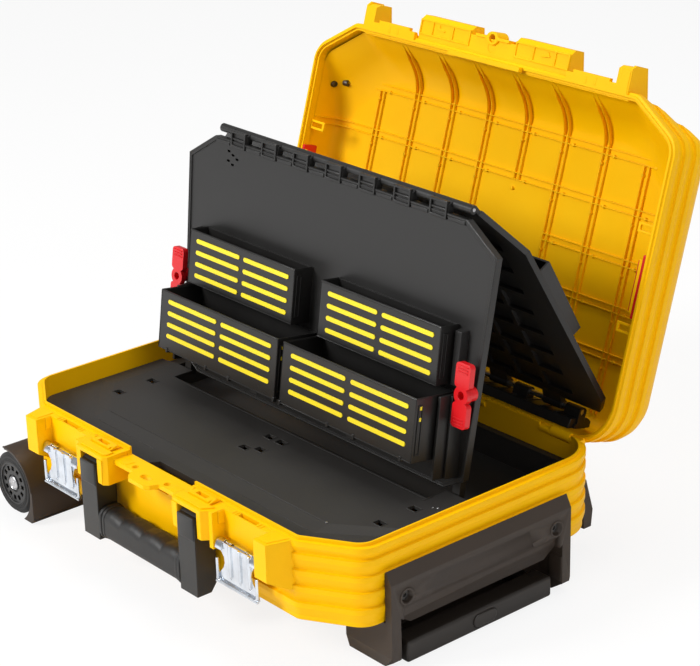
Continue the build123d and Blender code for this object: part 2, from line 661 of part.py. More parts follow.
with BuildPart() as panel_rear:
    with BuildSketch(REAR_PANEL.offset(-FOLD_GAP - REAR_THK)):
        rear_outline()
    extrude(amount=REAR_THK)
    # shallow pockets between the ribs of the inner face
    with BuildSketch(REAR_PANEL.offset(-FOLD_GAP - 3.5)):
        for x in range(-180, 181, 40):
            for y in range(34, 231, 28):
                with Locations((x, y)):
                    Rectangle(34, 22)
    extrude(amount=5, mode=Mode.SUBTRACT)
    # knuckles along the top, in the gaps between the front panel's
    step = 2 * APEX_HALF / APEX_KNUCKLES
    for n in range(0, APEX_KNUCKLES, 2):
        start = -APEX_HALF + n * step + SIDE_GAP / 2
        with BuildSketch(side(REAR_PANEL, start)):
            face_of([
                (REAR_TOP - 3, -FOLD_GAP), (REAR_LEN, -1), (REAR_LEN, -APEX_R),
                (REAR_TOP - 3, -FOLD_GAP - REAR_THK + 1),
            ])
            with Locations((REAR_LEN, 0)):
                Circle(APEX_R)
        extrude(amount=step - SIDE_GAP)
    disc(side(REAR_PANEL, -APEX_HALF - 1), 2 * APEX_HALF + 2, (REAR_LEN, 0), APEX_PIN_R + FIT,
         Mode.SUBTRACT)
    # eyes round the bar's rod, between its carriers
    for x in (-178, -95, 20, 75, 150):
        with BuildSketch(side(REAR_PANEL, x)):
            face_of([(0, -4), (14, -FOLD_GAP - REAR_THK + 1), (14, -FOLD_GAP), (0, 3)])
            Circle(BAR_R)
        extrude(amount=25)
    disc(side(REAR_PANEL, -BAR_HALF - 1), 2 * BAR_HALF + 2, (0, 0), BAR_ROD_R + FIT,
         Mode.SUBTRACT)
finish(panel_rear, "panel_rear")


def pocket(frame, x, s, low, deep):
    """Open-topped pocket on a panel, from low to low + deep off its frame."""
    box(frame, (x[0], s[0], low), (x[1], s[1], low + deep))
    inner_low = low + POCKET_WALL
    box(frame, (x[0] + POCKET_WALL, s[0] + POCKET_WALL, inner_low),
        (x[1] - POCKET_WALL, s[1] + 1, inner_low + deep - 2 * POCKET_WALL), Mode.SUBTRACT)


REAR_BACK = -FOLD_GAP - REAR_THK
for name, x in (("rear_pocket_left", (-REAR_POCKET_X[1], -REAR_POCKET_X[0])),
                ("rear_pocket_right", REAR_POCKET_X)):
    with BuildPart() as rear_pocket:
        pocket(REAR_PANEL, x, REAR_POCKET_S, REAR_BACK - REAR_POCKET_DEEP, REAR_POCKET_DEEP)
    finish(rear_pocket, name)

# ---------------------------------------------------------------- front tool panel
FRONT_TOP = PANEL_LEN - 8

with BuildPart() as panel_front:
    with BuildSketch(FRONT_PANEL.offset(-PANEL_THK)):
        face_of([
            (-PANEL_FOOT_X, PANEL_FOOT_S), (PANEL_FOOT_X, PANEL_FOOT_S), (PANEL_LOW_X, 15),
            (PANEL_TOP_X, FRONT_TOP - 26), (187, FRONT_TOP), (-187, FRONT_TOP),
            (-PANEL_TOP_X, FRONT_TOP - 26), (-PANEL_LOW_X, 15),
        ])
    extrude(amount=PANEL_THK)
    # rim round the face, so the panel reads as a shallow tray
    with BuildSketch(FRONT_PANEL.offset(-1.2)):
        face_of([
            (-PANEL_FOOT_X + 4, 4), (PANEL_FOOT_X - 4, 4), (PANEL_LOW_X - 4, 19),
            (PANEL_TOP_X - 4, FRONT_TOP - 29), (185, FRONT_TOP - 4), (-185, FRONT_TOP - 4),
            (-PANEL_TOP_X + 4, FRONT_TOP - 29), (-PANEL_LOW_X + 4, 19),
        ])
    extrude(amount=2, mode=Mode.SUBTRACT)
    # feet beside the pockets, cut to the slope they stand on
    for s in (-1, 1):
        start = 203 if s > 0 else -213
        prism(side(FRONT_PANEL, start), 10, [
            (16, 0), (0.5, 0), (-6.4, -PANEL_THK), (16, -PANEL_THK),
        ])
    # five small slots near the top left, and the holes for the turn catches
    with BuildSketch(FRONT_PANEL.offset(-PANEL_THK)):
        with Locations((-165, 246), (-158, 243), (-151, 240), (-165, 236), (-158, 233)):
            SlotOverall(5, 2.4)
        with Locations((-CATCH_X, CATCH_S), (CATCH_X, CATCH_S)):
            Circle(CATCH_PIN_R + FIT)
    extrude(amount=PANEL_THK + 1, mode=Mode.SUBTRACT)
    # knuckles along the top
    for n in range(1, APEX_KNUCKLES, 2):
        start = -APEX_HALF + n * step + SIDE_GAP / 2
        with BuildSketch(side(FRONT_PANEL, start)):
            face_of([
                (FRONT_TOP - 3, -PANEL_THK), (PANEL_LEN, -AXIS_BACK),
                (PANEL_LEN + 2, -AXIS_BACK + APEX_R - 1), (PANEL_LEN, -1), (FRONT_TOP - 3, -1),
            ])
            with Locations((PANEL_LEN, -AXIS_BACK)):
                Circle(APEX_R)
        extrude(amount=step - SIDE_GAP)
    disc(side(FRONT_PANEL, -APEX_HALF - 1), 2 * APEX_HALF + 2, (PANEL_LEN, -AXIS_BACK),
         APEX_PIN_R + FIT, Mode.SUBTRACT)
finish(panel_front, "panel_front")

with BuildPart() as apex_rod:
    disc(side(FRONT_PANEL, -APEX_HALF), 2 * APEX_HALF, (PANEL_LEN, -AXIS_BACK), APEX_PIN_R)
finish(apex_rod, "apex_rod")

POCKET_BACK = -1.2
FRONT_POCKETS = (
    ("pocket_lower_left", (-LOW_POCKET_X[1], -LOW_POCKET_X[0]), LOW_POCKET_S, LOW_POCKET_DEEP),
    ("pocket_lower_right", LOW_POCKET_X, LOW_POCKET_S, LOW_POCKET_DEEP),
    ("pocket_upper_left", (-UP_POCKET_X[1], -UP_POCKET_X[0]), UP_POCKET_S, UP_POCKET_DEEP),
    ("pocket_upper_right", UP_POCKET_X, UP_POCKET_S, UP_POCKET_DEEP),
)
for name, x, s, deep in FRONT_POCKETS:
    with BuildPart() as front_pocket:
        pocket(FRONT_PANEL, x, s, POCKET_BACK, deep - POCKET_BACK)
    finish(front_pocket, name)

# Yellow stripes on the pockets: two columns of four on each
with BuildPart() as pocket_stripes:
    for name, x, s, deep in FRONT_POCKETS:
        width = x[1] - x[0]
        with BuildSketch(FRONT_PANEL.offset(deep)):
            for column in (0.28, 0.74):
                for row in range(STRIPE_ROWS):
                    spot = (x[0] + width * column, s[1] - 9.5 - row * STRIPE_PITCH)
                    with Locations(spot):
                        SlotOverall(width * 0.42, STRIPE_H)
        extrude(amount=STRIPE_T)
finish(pocket_stripes, "pocket_stripes")

# Red turn catches: a hub with two finger wings
for name, s in (("turn_catch_left", -1), ("turn_catch_right", 1)):
    with BuildPart() as turn_catch:
        with BuildSketch(FRONT_PANEL.offset(CATCH_RISE)):
            with Locations((s * CATCH_X, CATCH_S)):
                Circle(9)
            with Locations((s * CATCH_X, CATCH_S + 19), (s * CATCH_X, CATCH_S - 19)):
                RectangleRounded(19, 24, 4)
        extrude(amount=CATCH_T)
        disc(FRONT_PANEL.offset(SEAT), CATCH_RISE - SEAT, (s * CATCH_X, CATCH_S), 7)
        disc(FRONT_PANEL.offset(-PANEL_THK + 0.5), PANEL_THK, (s * CATCH_X, CATCH_S),
             CATCH_PIN_R)
        disc(FRONT_PANEL.offset(CATCH_RISE - 2), CATCH_T + 3, (s * CATCH_X, CATCH_S), 4,
             Mode.SUBTRACT)
        # finger ribs
        with BuildSketch(FRONT_PANEL.offset(CATCH_RISE + CATCH_T)):
            for rise in (-28, -25, -22, 22, 25, 28):
                with Locations((s * CATCH_X, CATCH_S + rise)):
                    Rectangle(13, 1.2)
        extrude(amount=1)
    finish(turn_catch, name)

# ---------------------------------------------------------------- draw latches
for name, s in (("left", -1), ("right", 1)):
    middle = s * LATCH_X
    half = LATCH_W / 2
    with BuildPart() as latch_pin:
        start = BAY_X[0] - 4.2 if s > 0 else -BAY_X[1] - 4.2
        disc(side(BASE, start), BAY_X[1] - BAY_X[0] + 8.4, (-LATCH_Y, -LATCH_Z), LATCH_PIN_R)
    finish(latch_pin, f"latch_pin_{name}")

    with BuildPart() as latch_plate:
        plate_y = -LATCH_Y - 1.4
        with BuildSketch(side(BASE, middle - half)):
            face_of([
                (plate_y, -LATCH_Z), (plate_y - LATCH_PLATE_T, -LATCH_Z),
                (plate_y - LATCH_PLATE_T, -LATCH_Z - LATCH_PLATE),
                (plate_y, -LATCH_Z - LATCH_PLATE),
            ])
        extrude(amount=LATCH_W)
        # rolled eyes round the pin
        for start, length in ((middle - half, 12), (middle - 8, 16), (middle + half - 12, 12)):
            disc(side(BASE, start), length, (-LATCH_Y, -LATCH_Z), 4.3)
        # pressed ribs down the plate
        for x in (-15, 0, 15):
            with BuildSketch(facing(BASE, plate_y - LATCH_PLATE_T)):
                with Locations((middle + x, -LATCH_Z - 17)):
                    SlotOverall(24, 4.5, rotation=90)
            extrude(amount=1.3)
        disc(side(BASE, middle - half - 1), LATCH_W + 2, (-LATCH_Y, -LATCH_Z),
             LATCH_PIN_R + FIT, Mode.SUBTRACT)
        # waist: the plate narrows at its middle
        for edge in (middle - half, middle + half):
            with BuildSketch(facing(BASE, plate_y + 0.2)):
                with Locations((edge, -LATCH_Z - 17)):
                    SlotOverall(16, 8, rotation=90)
            extrude(amount=4, mode=Mode.SUBTRACT)
    finish(latch_plate, f"latch_plate_{name}")

    with BuildPart() as latch_claw:
        claw_y = plate_y - LATCH_PLATE_T - SEAT - CLAW_R
        reach = half - CLAW_R
        with BuildLine(facing(BASE, claw_y)) as wire:
            FilletPolyline(
                (middle - reach, -LATCH_Z - 14), (middle - reach, -LATCH_Z - LATCH_LEN),
                (middle + reach, -LATCH_Z - LATCH_LEN), (middle + reach, -LATCH_Z - 14),
                radius=2.5 * CLAW_R,
            )
        with BuildSketch(BASE.offset(-LATCH_Z - 14)):
            with Locations((middle - reach, claw_y)):
                Circle(CLAW_R)
        sweep(path=wire.line)
    finish(latch_claw, f"latch_claw_{name}")

# ---------------------------------------------------------------- carry handle
with BuildPart() as handle_frame:
    for s in (-1, 1):
        start = ARM_X[0] if s > 0 else -ARM_X[1]
        width = ARM_X[1] - ARM_X[0]
        with BuildSketch(side(BASE, start)):
            with Locations((-HANDLE_Y, -HANDLE_Z)):
                Circle(ARM_T / 2)
            face_of([
                (-HANDLE_Y - ARM_T / 2, -HANDLE_Z), (-HANDLE_Y + ARM_T / 2, -HANDLE_Z),
                (-HANDLE_Y + ARM_T / 2 - 2, -HANDLE_BOTTOM + 8),
                (-HANDLE_Y + ARM_T / 2 - 8, -HANDLE_BOTTOM),
                (-HANDLE_Y - ARM_T / 2, -HANDLE_BOTTOM),
            ])
        extrude(amount=width)
        disc(side(BASE, start - 1), width + 2, (-HANDLE_Y, -HANDLE_Z), HANDLE_PIN_R + FIT,
             Mode.SUBTRACT)
    grip_y = -(GRIP_FRONT + GRIP_BACK) / 2
    grip_z = -(GRIP_TOP + GRIP_LOW) / 2
    disc(side(BASE, -ARM_X[0] - 1), 2 * ARM_X[0] + 2, (grip_y, grip_z), GRIP_CORE_R)
finish(handle_frame, "handle_frame")

with BuildPart() as handle_pins:
    for start in (58.3, -99.7):
        disc(side(BASE, start), 41.4, (-HANDLE_Y, -HANDLE_Z), HANDLE_PIN_R)
finish(handle_pins, "handle_pins")

with BuildPart() as handle_grip:
    grip_half = ARM_X[0] - SEAT
    count = GRIP_BUMPS * GRIP_STEPS
    sections = []
    for n in range(count + 1):
        crest = abs(sin(radians(180 * n / GRIP_STEPS)))
        height = GRIP_LOW - GRIP_TOP - GRIP_BUMP_H * (1 - crest)
        with BuildSketch(side(BASE, -grip_half + 2 * grip_half * n / count)) as section:
            with Locations((grip_y, height / 2 - GRIP_LOW)):
                RectangleRounded(GRIP_FRONT - GRIP_BACK, height, GRIP_EDGE_R)
        sections.append(section.sketch.face())
    loft(sections, ruled=True)
    disc(side(BASE, -grip_half - 1), 2 * grip_half + 2, (grip_y, grip_z), GRIP_CORE_R,
         Mode.SUBTRACT)
finish(handle_grip, "handle_grip")

# ---------------------------------------------------------------- wheel housing and wheels
WHEEL_Z = WHEEL_R - RIM_Z
UNDER = -BASE_DEPTH - SEAT

with BuildPart() as wheel_housing:
    floor_gap = 2.0
    fender_x = WHEEL_X + FENDER_R
    tip_z = WHEEL_Z + (FENDER_R ** 2 - (FENDER_TIP - WHEEL_X) ** 2) ** 0.5
    low_z = floor_gap - RIM_Z
    with BuildSketch(facing(BASE, HOUSING_Y[1])):
        with BuildLine():
            tip = (FENDER_TIP, tip_z)
            RadiusArc(tip, (fender_x, WHEEL_Z), FENDER_R)
            Polyline(
                (fender_x, WHEEL_Z), (fender_x, low_z + 5), (fender_x - 4, low_z),
                (HOUSING_LEFT + 8, low_z), (HOUSING_LEFT, WHEEL_Z), (HOUSING_LEFT, UNDER),
                (FENDER_TIP, UNDER), tip,
            )
        make_face()
    extrude(amount=HOUSING_Y[0] + HOUSING_Y[1])
    # the base stands in it
    with BuildSketch(BASE.offset(UNDER)):
        case_outline(-BEAD_OUT - SEAT)
    extrude(amount=RIM_Z, mode=Mode.SUBTRACT)
    # room for the wheels, open to the end of the case
    hub_spot = (WHEEL_X, WHEEL_Z)
    for inner, face_y in ((-WHEEL_FACE[0] + WHEEL_W + 1, -HOUSING_Y[0] - 1),
                          (WHEEL_FACE[1] - WHEEL_W - 1, HOUSING_Y[1] + 1)):
        front = min(inner, face_y)
        back = max(inner, face_y)
        disc(facing(BASE, back), back - front, hub_spot, ARCH_R, Mode.SUBTRACT)
        box(BASE, (HOUSING_LEFT - 1, front, -RIM_Z), (FENDER_TIP, back, 0), Mode.SUBTRACT)
    disc(facing(BASE, WHEEL_FACE[1]), WHEEL_FACE[0] + WHEEL_FACE[1], hub_spot, AXLE_R + FIT,
         Mode.SUBTRACT)
finish(wheel_housing, "wheel_housing")

with BuildPart() as axle:
    cap_in = HUB_DEEP - SEAT
    disc(facing(BASE, WHEEL_FACE[1] - 1), WHEEL_FACE[0] + WHEEL_FACE[1] - 2, hub_spot, AXLE_R)
    disc(facing(BASE, WHEEL_FACE[1] - cap_in + CAP_T), CAP_T, hub_spot, CAP_R)
    disc(facing(BASE, -WHEEL_FACE[0] + cap_in), CAP_T, hub_spot, CAP_R)
finish(axle, "axle")

for name, s, face_y in (("front", -1, WHEEL_FACE[0]), ("rear", 1, WHEEL_FACE[1])):
    hub = Plane(
        origin=BASE.from_local_coords((WHEEL_X, s * face_y, WHEEL_Z)),
        x_dir=(1, 0, 0), z_dir=(0, s, 0),
    )
    with BuildPart() as tyre:
        with BuildSketch(Plane(origin=hub.origin, x_dir=(1, 0, 0), z_dir=(0, 0, 1))):
            inward = -s
            with BuildLine():
                Polyline(
                    (RIM_R, 0), (WHEEL_R - 3, 0), (WHEEL_R, inward * 3),
                    (WHEEL_R, inward * (WHEEL_W - 3)), (WHEEL_R - 3, inward * WHEEL_W),
                    (RIM_R, inward * WHEEL_W), close=True,
                )
            make_face()
        revolve(axis=Axis(hub.origin, (0, 1, 0)))
    finish(tyre, f"tyre_{name}")
    with BuildPart() as wheel_rim:
        disc(hub.offset(-WHEEL_W), WHEEL_W, (0, 0), RIM_R)
        disc(hub.offset(-1.2), 4, (0, 0), RIM_R - 1.5, Mode.SUBTRACT)
        disc(hub.offset(-WHEEL_W), 10, (0, 0), RIM_R - 3, Mode.SUBTRACT)
        disc(hub.offset(-WHEEL_W), WHEEL_W - HUB_DEEP, (0, 0), HUB_R)
        disc(hub.offset(-HUB_DEEP), 4, (0, 0), HUB_R - 1, Mode.SUBTRACT)
        with BuildSketch(hub.offset(-WHEEL_W)):
            with PolarLocations(16.2, 12):
                RectangleRounded(5.0, 4.6, 0.8)
        extrude(amount=WHEEL_W, mode=Mode.SUBTRACT)
        disc(hub.offset(-WHEEL_W - 1), WHEEL_W + 2, (0, 0), AXLE_R + FIT, Mode.SUBTRACT)
    finish(wheel_rim, f"wheel_{name}")

# ---------------------------------------------------------------- pull handle
TUBE_Z = -RIM_Z + TUBE_R[0] + 3
PULL_Z = -RIM_Z
STAGE_STOP = 6.0


def tube_pair(radius, start, end):
    """Two round tubes side by side along X."""
    with BuildSketch(side(BASE, start)) as profile:
        with Locations((-TUBE_Y, TUBE_Z), (TUBE_Y, TUBE_Z)):
            Circle(radius)
            Circle(radius - TUBE_T, mode=Mode.SUBTRACT)
    extrude(profile.sketch, amount=end - start)


with BuildPart() as tubes_fixed:
    tube_pair(TUBE_R[0], TUBE_X[0], TUBE_X[1])
finish(tubes_fixed, "tubes_fixed")

with BuildPart() as tubes_middle:
    tube_pair(TUBE_R[1], TUBE_X[0] + STAGE_STOP, TUBE_X[1] + 8)
    # collars at the front end of the middle stage
    tube_pair(TUBE_R[0] - 0.5, TUBE_X[1] + 8, TUBE_X[1] + 14)
    with BuildSketch(side(BASE, TUBE_X[1] + 7)):
        with Locations((-TUBE_Y, TUBE_Z), (TUBE_Y, TUBE_Z)):
            Circle(TUBE_R[1] - TUBE_T)
    extrude(amount=8, mode=Mode.SUBTRACT)
finish(tubes_middle, "tubes_middle")

with BuildPart() as tubes_inner:
    tube_pair(TUBE_R[2], TUBE_X[0] + 2 * STAGE_STOP, PULL_X[0] + 10)
finish(tubes_inner, "tubes_inner")

with BuildPart() as pull_grip:
    with BuildSketch(side(BASE, PULL_X[0])):
        with Locations((0, PULL_Z + PULL_H / 2)):
            RectangleRounded(2 * PULL_HALF, PULL_H, 3)
    extrude(amount=PULL_X[1] - PULL_X[0])
    fillet(pull_grip.edges().filter_by(Axis.Y).group_by(Axis.X)[-1], 3)
    disc(side(BASE, PULL_X[0] - 1), 11, (-TUBE_Y, TUBE_Z), TUBE_R[2], Mode.SUBTRACT)
    disc(side(BASE, PULL_X[0] - 1), 11, (TUBE_Y, TUBE_Z), TUBE_R[2], Mode.SUBTRACT)
    with BuildSketch(side(BASE, PULL_X[1] - 9)):
        with Locations((4, PULL_Z + PULL_H / 2)):
            SlotOverall(BUTTON_L + 0.8, BUTTON_H + 0.8)
    extrude(amount=12, mode=Mode.SUBTRACT)
finish(pull_grip, "pull_grip")

with BuildPart() as pull_button:
    with BuildSketch(side(BASE, PULL_X[1] - 9 + BUTTON_TRAVEL + SEAT)):
        with Locations((4, PULL_Z + PULL_H / 2)):
            SlotOverall(BUTTON_L, BUTTON_H)
    extrude(amount=7)
    fillet(pull_button.faces().sort_by(Axis.X)[-1].edges(), 1.2)
finish(pull_button, "pull_button")

# Bracket: a bevelled bar across the end of the base, with legs that wrap under it
with BuildPart() as pull_bracket:
    back_x = HALF_X + BEAD_OUT + SEAT
    with BuildSketch(facing(BASE, BRACKET_HALF)):
        face_of([
            (back_x, -BRACKET_TOP - 2), (back_x + 2, -BRACKET_TOP),
            (BRACKET_X, -BRACKET_TOP - BRACKET_BEVEL), (BRACKET_X, -RIM_Z + 10),
            (BRACKET_X - 14, -RIM_Z), (LEG_BACK, -RIM_Z), (LEG_BACK, UNDER), (back_x, UNDER),
        ])
    extrude(amount=2 * BRACKET_HALF)
    # window for the fingers, deep to the back plate
    prism(side(BASE, LEG_BACK + 5), BRACKET_X - LEG_BACK, [
        (-WINDOW_HALF, -RIM_Z - 1), (-WINDOW_HALF, -WINDOW_TOP), (-LIP_FROM, -LIP_Z),
        (LIP_FROM, -LIP_Z), (WINDOW_HALF, -WINDOW_TOP), (WINDOW_HALF, -RIM_Z - 1),
    ], Mode.SUBTRACT)
    # recessed face between the screw pads
    prism(side(BASE, BRACKET_X - 2), 4, [
        (-58, -BRACKET_TOP - BRACKET_BEVEL - 6), (-62, -59), (-66, -69.8), (-82, -LIP_Z - 1),
        (82, -LIP_Z - 1), (66, -69.8), (62, -59), (58, -BRACKET_TOP - BRACKET_BEVEL - 6),
    ], Mode.SUBTRACT)
    # bores where the tubes leave
    for y in (-TUBE_Y, TUBE_Y):
        disc(side(BASE, LEG_BACK - 1), 8, (y, TUBE_Z), TUBE_R[0] + 0.4, Mode.SUBTRACT)
    # recessed screws
    for y in (-SCREW_Y, SCREW_Y):
        disc(side(BASE, BRACKET_X - SCREW_DEEP), 10, (y, -SCREW_Z), SCREW_R + 1.6, Mode.SUBTRACT)
        disc(side(BASE, back_x - 1), 12, (y, -SCREW_Z), SCREW_R / 2 + FIT, Mode.SUBTRACT)
    # legs lean in towards the floor
    for s in (-1, 1):
        prism(side(BASE, LEG_BACK - 1), BRACKET_X - LEG_BACK + 2, [
            (s * (BRACKET_HALF + 1), UNDER - 30), (s * (BRACKET_HALF + 1), -RIM_Z - 1),
            (s * (BRACKET_HALF - 4), -RIM_Z - 1),
        ], Mode.SUBTRACT)
finish(pull_bracket, "pull_bracket")

with BuildPart() as bracket_screws:
    for y in (-SCREW_Y, SCREW_Y):
        head = BRACKET_X - SCREW_DEEP
        disc(side(BASE, head), 2.6, (y, -SCREW_Z), SCREW_R)
        disc(side(BASE, HALF_X - WALL), head - HALF_X + WALL, (y, -SCREW_Z), SCREW_R / 2)
        with BuildSketch(side(BASE, head + 1.2)):
            with Locations((y, -SCREW_Z)):
                RegularPolygon(2.2, 6)
        extrude(amount=2, mode=Mode.SUBTRACT)
finish(bracket_screws, "bracket_screws")

# ---------------------------------------------------------------- rear feet
with BuildPart() as rear_feet:
    back = BACK_Y + BEAD_OUT + SEAT
    for x in REAR_FOOT_X:
        with BuildSketch(side(BASE, x - REAR_FOOT_W / 2)):
            face_of([
                (back, -47), (back + 4, -45), (back + 14, -80), (back + 12, -98),
                (back + 2, -98), (back, -76),
            ])
        extrude(amount=REAR_FOOT_W)
finish(rear_feet, "rear_feet")

# ---------------------------------------------------------------- joint facts, printed
def heading(start, end):
    """Direction between two points in the closed lid's frame, degrees from +y."""
    step = LID.to_local_coords(end) - LID.to_local_coords(start)
    return degrees(atan2(step.Z, step.Y))


foot = FRONT_PANEL.from_local_coords((0, 0, -AXIS_BACK))
rear_fold = -180 - heading(BAR, APEX)
front_fold = -heading(APEX, foot) - rear_fold
print("lid axis", BASE.from_local_coords((0, HINGE_Y, HINGE_Z)), "bar", BAR, "apex", APEX)
print("closing turns", LID_OPEN, rear_fold, front_fold)
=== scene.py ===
"""Looks of the wheeled hard tool case: materials, small moulded details, light and camera."""
import json
import math

import bpy
import bmesh
from mathutils import Matrix, Vector

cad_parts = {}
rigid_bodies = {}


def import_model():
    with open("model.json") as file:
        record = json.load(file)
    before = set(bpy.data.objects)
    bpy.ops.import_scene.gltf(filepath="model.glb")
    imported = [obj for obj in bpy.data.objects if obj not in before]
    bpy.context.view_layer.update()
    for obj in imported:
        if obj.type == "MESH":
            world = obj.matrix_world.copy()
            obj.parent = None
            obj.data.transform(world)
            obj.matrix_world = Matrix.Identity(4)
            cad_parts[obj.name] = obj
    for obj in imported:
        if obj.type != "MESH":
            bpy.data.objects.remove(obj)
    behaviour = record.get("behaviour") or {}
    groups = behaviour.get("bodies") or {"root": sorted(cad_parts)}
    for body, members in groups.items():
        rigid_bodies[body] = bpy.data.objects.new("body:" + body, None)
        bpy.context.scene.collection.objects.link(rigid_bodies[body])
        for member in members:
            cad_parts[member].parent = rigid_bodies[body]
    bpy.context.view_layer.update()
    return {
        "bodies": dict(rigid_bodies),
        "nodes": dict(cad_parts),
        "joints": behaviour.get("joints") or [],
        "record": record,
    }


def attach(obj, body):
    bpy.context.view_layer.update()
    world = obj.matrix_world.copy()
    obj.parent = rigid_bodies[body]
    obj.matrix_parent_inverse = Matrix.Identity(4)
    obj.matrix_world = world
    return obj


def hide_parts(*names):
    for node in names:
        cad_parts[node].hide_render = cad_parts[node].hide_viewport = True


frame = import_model()
NODES = frame["nodes"]

# ---------------------------------------------------------------- places shared with the CAD, metres
MM = 0.001
CASE_Y = -0.0562          # centre line of the case
RIM_Z = 0.1265            # parting plane


# ---------------------------------------------------------------- node helpers
class Graph:
    """A short way to write a material's node tree."""

    def __init__(self, name):
        self.material = bpy.data.materials.new(name)
        self.material.use_nodes = True
        self.tree = self.material.node_tree
        self.tree.nodes.clear()
        self.out = self.tree.nodes.new("ShaderNodeOutputMaterial")
        coordinates = self.tree.nodes.new("ShaderNodeTexCoord")
        self.place = coordinates.outputs["Object"]

    def node(self, kind, links=(), **settings):
        made = self.tree.nodes.new(kind)
        for key, value in settings.items():
            setattr(made, key, value)
        for socket, source in links:
            target = made.inputs[socket]
            if isinstance(source, (int, float, tuple)):
                target.default_value = source
            else:
                self.tree.links.new(source, target)
        return made

    def noise(self, scale, detail=2.0, rough=0.5, where=None):
        made = self.node("ShaderNodeTexNoise", [
            ("Vector", where or self.place), ("Scale", scale), ("Detail", detail),
            ("Roughness", rough),
        ])
        return made.outputs["Fac"]

    def stretched(self, factors):
        made = self.node("ShaderNodeMapping", [("Vector", self.place), ("Scale", factors)])
        return made.outputs["Vector"]

    def span(self, source, low, high, to_low, to_high):
        made = self.node("ShaderNodeMapRange", [
            ("Value", source), ("From Min", low), ("From Max", high), ("To Min", to_low),
            ("To Max", to_high),
        ])
        return made.outputs["Result"]

    def blend(self, factor, first, second):
        made = self.node("ShaderNodeMix", [("Factor", factor)], data_type="RGBA")
        for socket, source in (("A", first), ("B", second)):
            target = [s for s in made.inputs if s.name == socket and s.type == "RGBA"][0]
            if isinstance(source, tuple):
                target.default_value = source
            else:
                self.tree.links.new(source, target)
        return [s for s in made.outputs if s.type == "RGBA"][0]

    def maths(self, operation, first, second=0.0):
        made = self.node("ShaderNodeMath", [(0, first), (1, second)], operation=operation)
        return made.outputs[0]

    def edges(self, radius):
        """How sharply the surface turns within a radius: 0 on flats, more along edges."""
        rounded = self.node("ShaderNodeBevel", [("Radius", radius)], samples=4)
        plain = self.node("ShaderNodeNewGeometry").outputs["Normal"]
        match = self.node("ShaderNodeVectorMath", [
            (0, rounded.outputs["Normal"]), (1, plain),
        ], operation="DOT_PRODUCT").outputs["Value"]
        return self.span(match, 0.97, 0.6, 0.0, 1.0), rounded.outputs["Normal"]

    def bump(self, height, distance, strength=1.0, normal=None):
        links = [("Height", height), ("Distance", distance), ("Strength", strength)]
        if normal is not None:
            links.append(("Normal", normal))
        return self.node("ShaderNodeBump", links).outputs["Normal"]

    def surface(self, colour, rough, normal=None, **values):
        links = [("Base Color", colour), ("Roughness", rough)]
        if normal is not None:
            links.append(("Normal", normal))
        shader = self.node("ShaderNodeBsdfPrincipled", links)
        for socket, value in values.items():
            shader.inputs[socket.replace("_", " ")].default_value = value
        self.tree.links.new(shader.outputs["BSDF"], self.out.inputs["Surface"])
        return self.material


def srgb(red, green, blue):
    """A colour read off the photograph, as the renderer's linear value."""
    def linear(value):
        value /= 255.0
        return value / 12.92 if value <= 0.04045 else ((value + 0.055) / 1.055) ** 2.4
    return (linear(red), linear(green), linear(blue), 1.0)


def scaled(colour, factor):
    return tuple(min(c * factor, 1.0) for c in colour[:3]) + (1.0,)


def moulded(name, colour, rough, grain=0.0, grain_size=900.0, radius=0.0009, wear_and_highlight_share=0.25,
            spec=0.5, bright=1.5):
    """Moulded plastic: grain, faint flow marks, and edges painted lighter, partly as wear and partly
    as a painted highlight.
    """
    g = Graph(name)
    edge, rounded = g.edges(radius)
    cloud = g.noise(9.0, 3.0, 0.6)
    fine = g.noise(grain_size, 2.0, 0.55)
    flecks = g.noise(260.0, 4.0, 0.7)
    # edge mask broken up by flecks: edges are lightened towards a brighter copy of the colour, as
    # wear and as a painted highlight
    edge_wear_and_highlight = g.maths("MULTIPLY", edge, g.span(flecks, 0.35, 0.65, 0.2, 1.0))
    base = g.blend(g.span(cloud, 0.3, 0.7, 0.0, 1.0), scaled(colour, 0.94), scaled(colour, 1.05))
    tone = g.blend(g.maths("MULTIPLY", edge_wear_and_highlight, wear_and_highlight_share), base, scaled(colour, bright))
    shine = g.span(cloud, 0.3, 0.7, rough - 0.05, rough + 0.06)
    shine = g.maths("ADD", shine, g.span(fine, 0.3, 0.7, -0.04, 0.04))
    normal = g.bump(fine, grain, 1.0, rounded) if grain else rounded
    return g.surface(tone, shine, normal, Specular_IOR_Level=spec)


YELLOW = srgb(255, 191, 0)

MATERIALS = {
    "shell": moulded("shell_plastic", YELLOW, 0.42, 0.00002, 1400.0, 0.0011, 0.5, 0.12, 1.4),
    "insert": moulded("insert_plastic", srgb(42, 40, 38), 0.56, 0.00012, 950.0, 0.001, 0.5),
    "panel": moulded("panel_plastic", srgb(28, 27, 26), 0.42, 0.00005, 1200.0, 0.0008, 0.8),
    "pocket": moulded("pocket_plastic", srgb(26, 25, 24), 0.34, 0.00003, 1200.0, 0.0007, 0.9),
    "stripe": moulded("stripe_plastic", srgb(255, 226, 30), 0.4, 0.00002, 1400.0, 0.0006),
    "red_catch": moulded("catch_plastic", srgb(215, 14, 24), 0.3, 0.00001, 1400.0, 0.0008),
    "bracket": moulded("bracket_plastic", srgb(54, 44, 36), 0.5, 0.0001, 1300.0, 0.0008, 0.5, 0.4),
    "handle": moulded("handle_plastic", srgb(30, 29, 27), 0.42, 0.00008, 1300.0, 0.0014, 0.4),
    "soft_grip": moulded("grip_rubber", srgb(26, 25, 24), 0.5, 0.00012, 1100.0, 0.0014, 0.3),
    "pull_grip": moulded("pull_plastic", srgb(38, 32, 27), 0.44, 0.0001, 1300.0, 0.0014, 0.4),
    "button": moulded("button_plastic", srgb(42, 36, 31), 0.34, 0.00004, 1300.0, 0.0008),
    "tyre": moulded("tyre_rubber", srgb(30, 29, 28), 0.6, 0.00015, 900.0, 0.0012, 0.3),
    "wheel": moulded("wheel_plastic", srgb(34, 33, 32), 0.4, 0.00005, 1300.0, 0.0008),
}


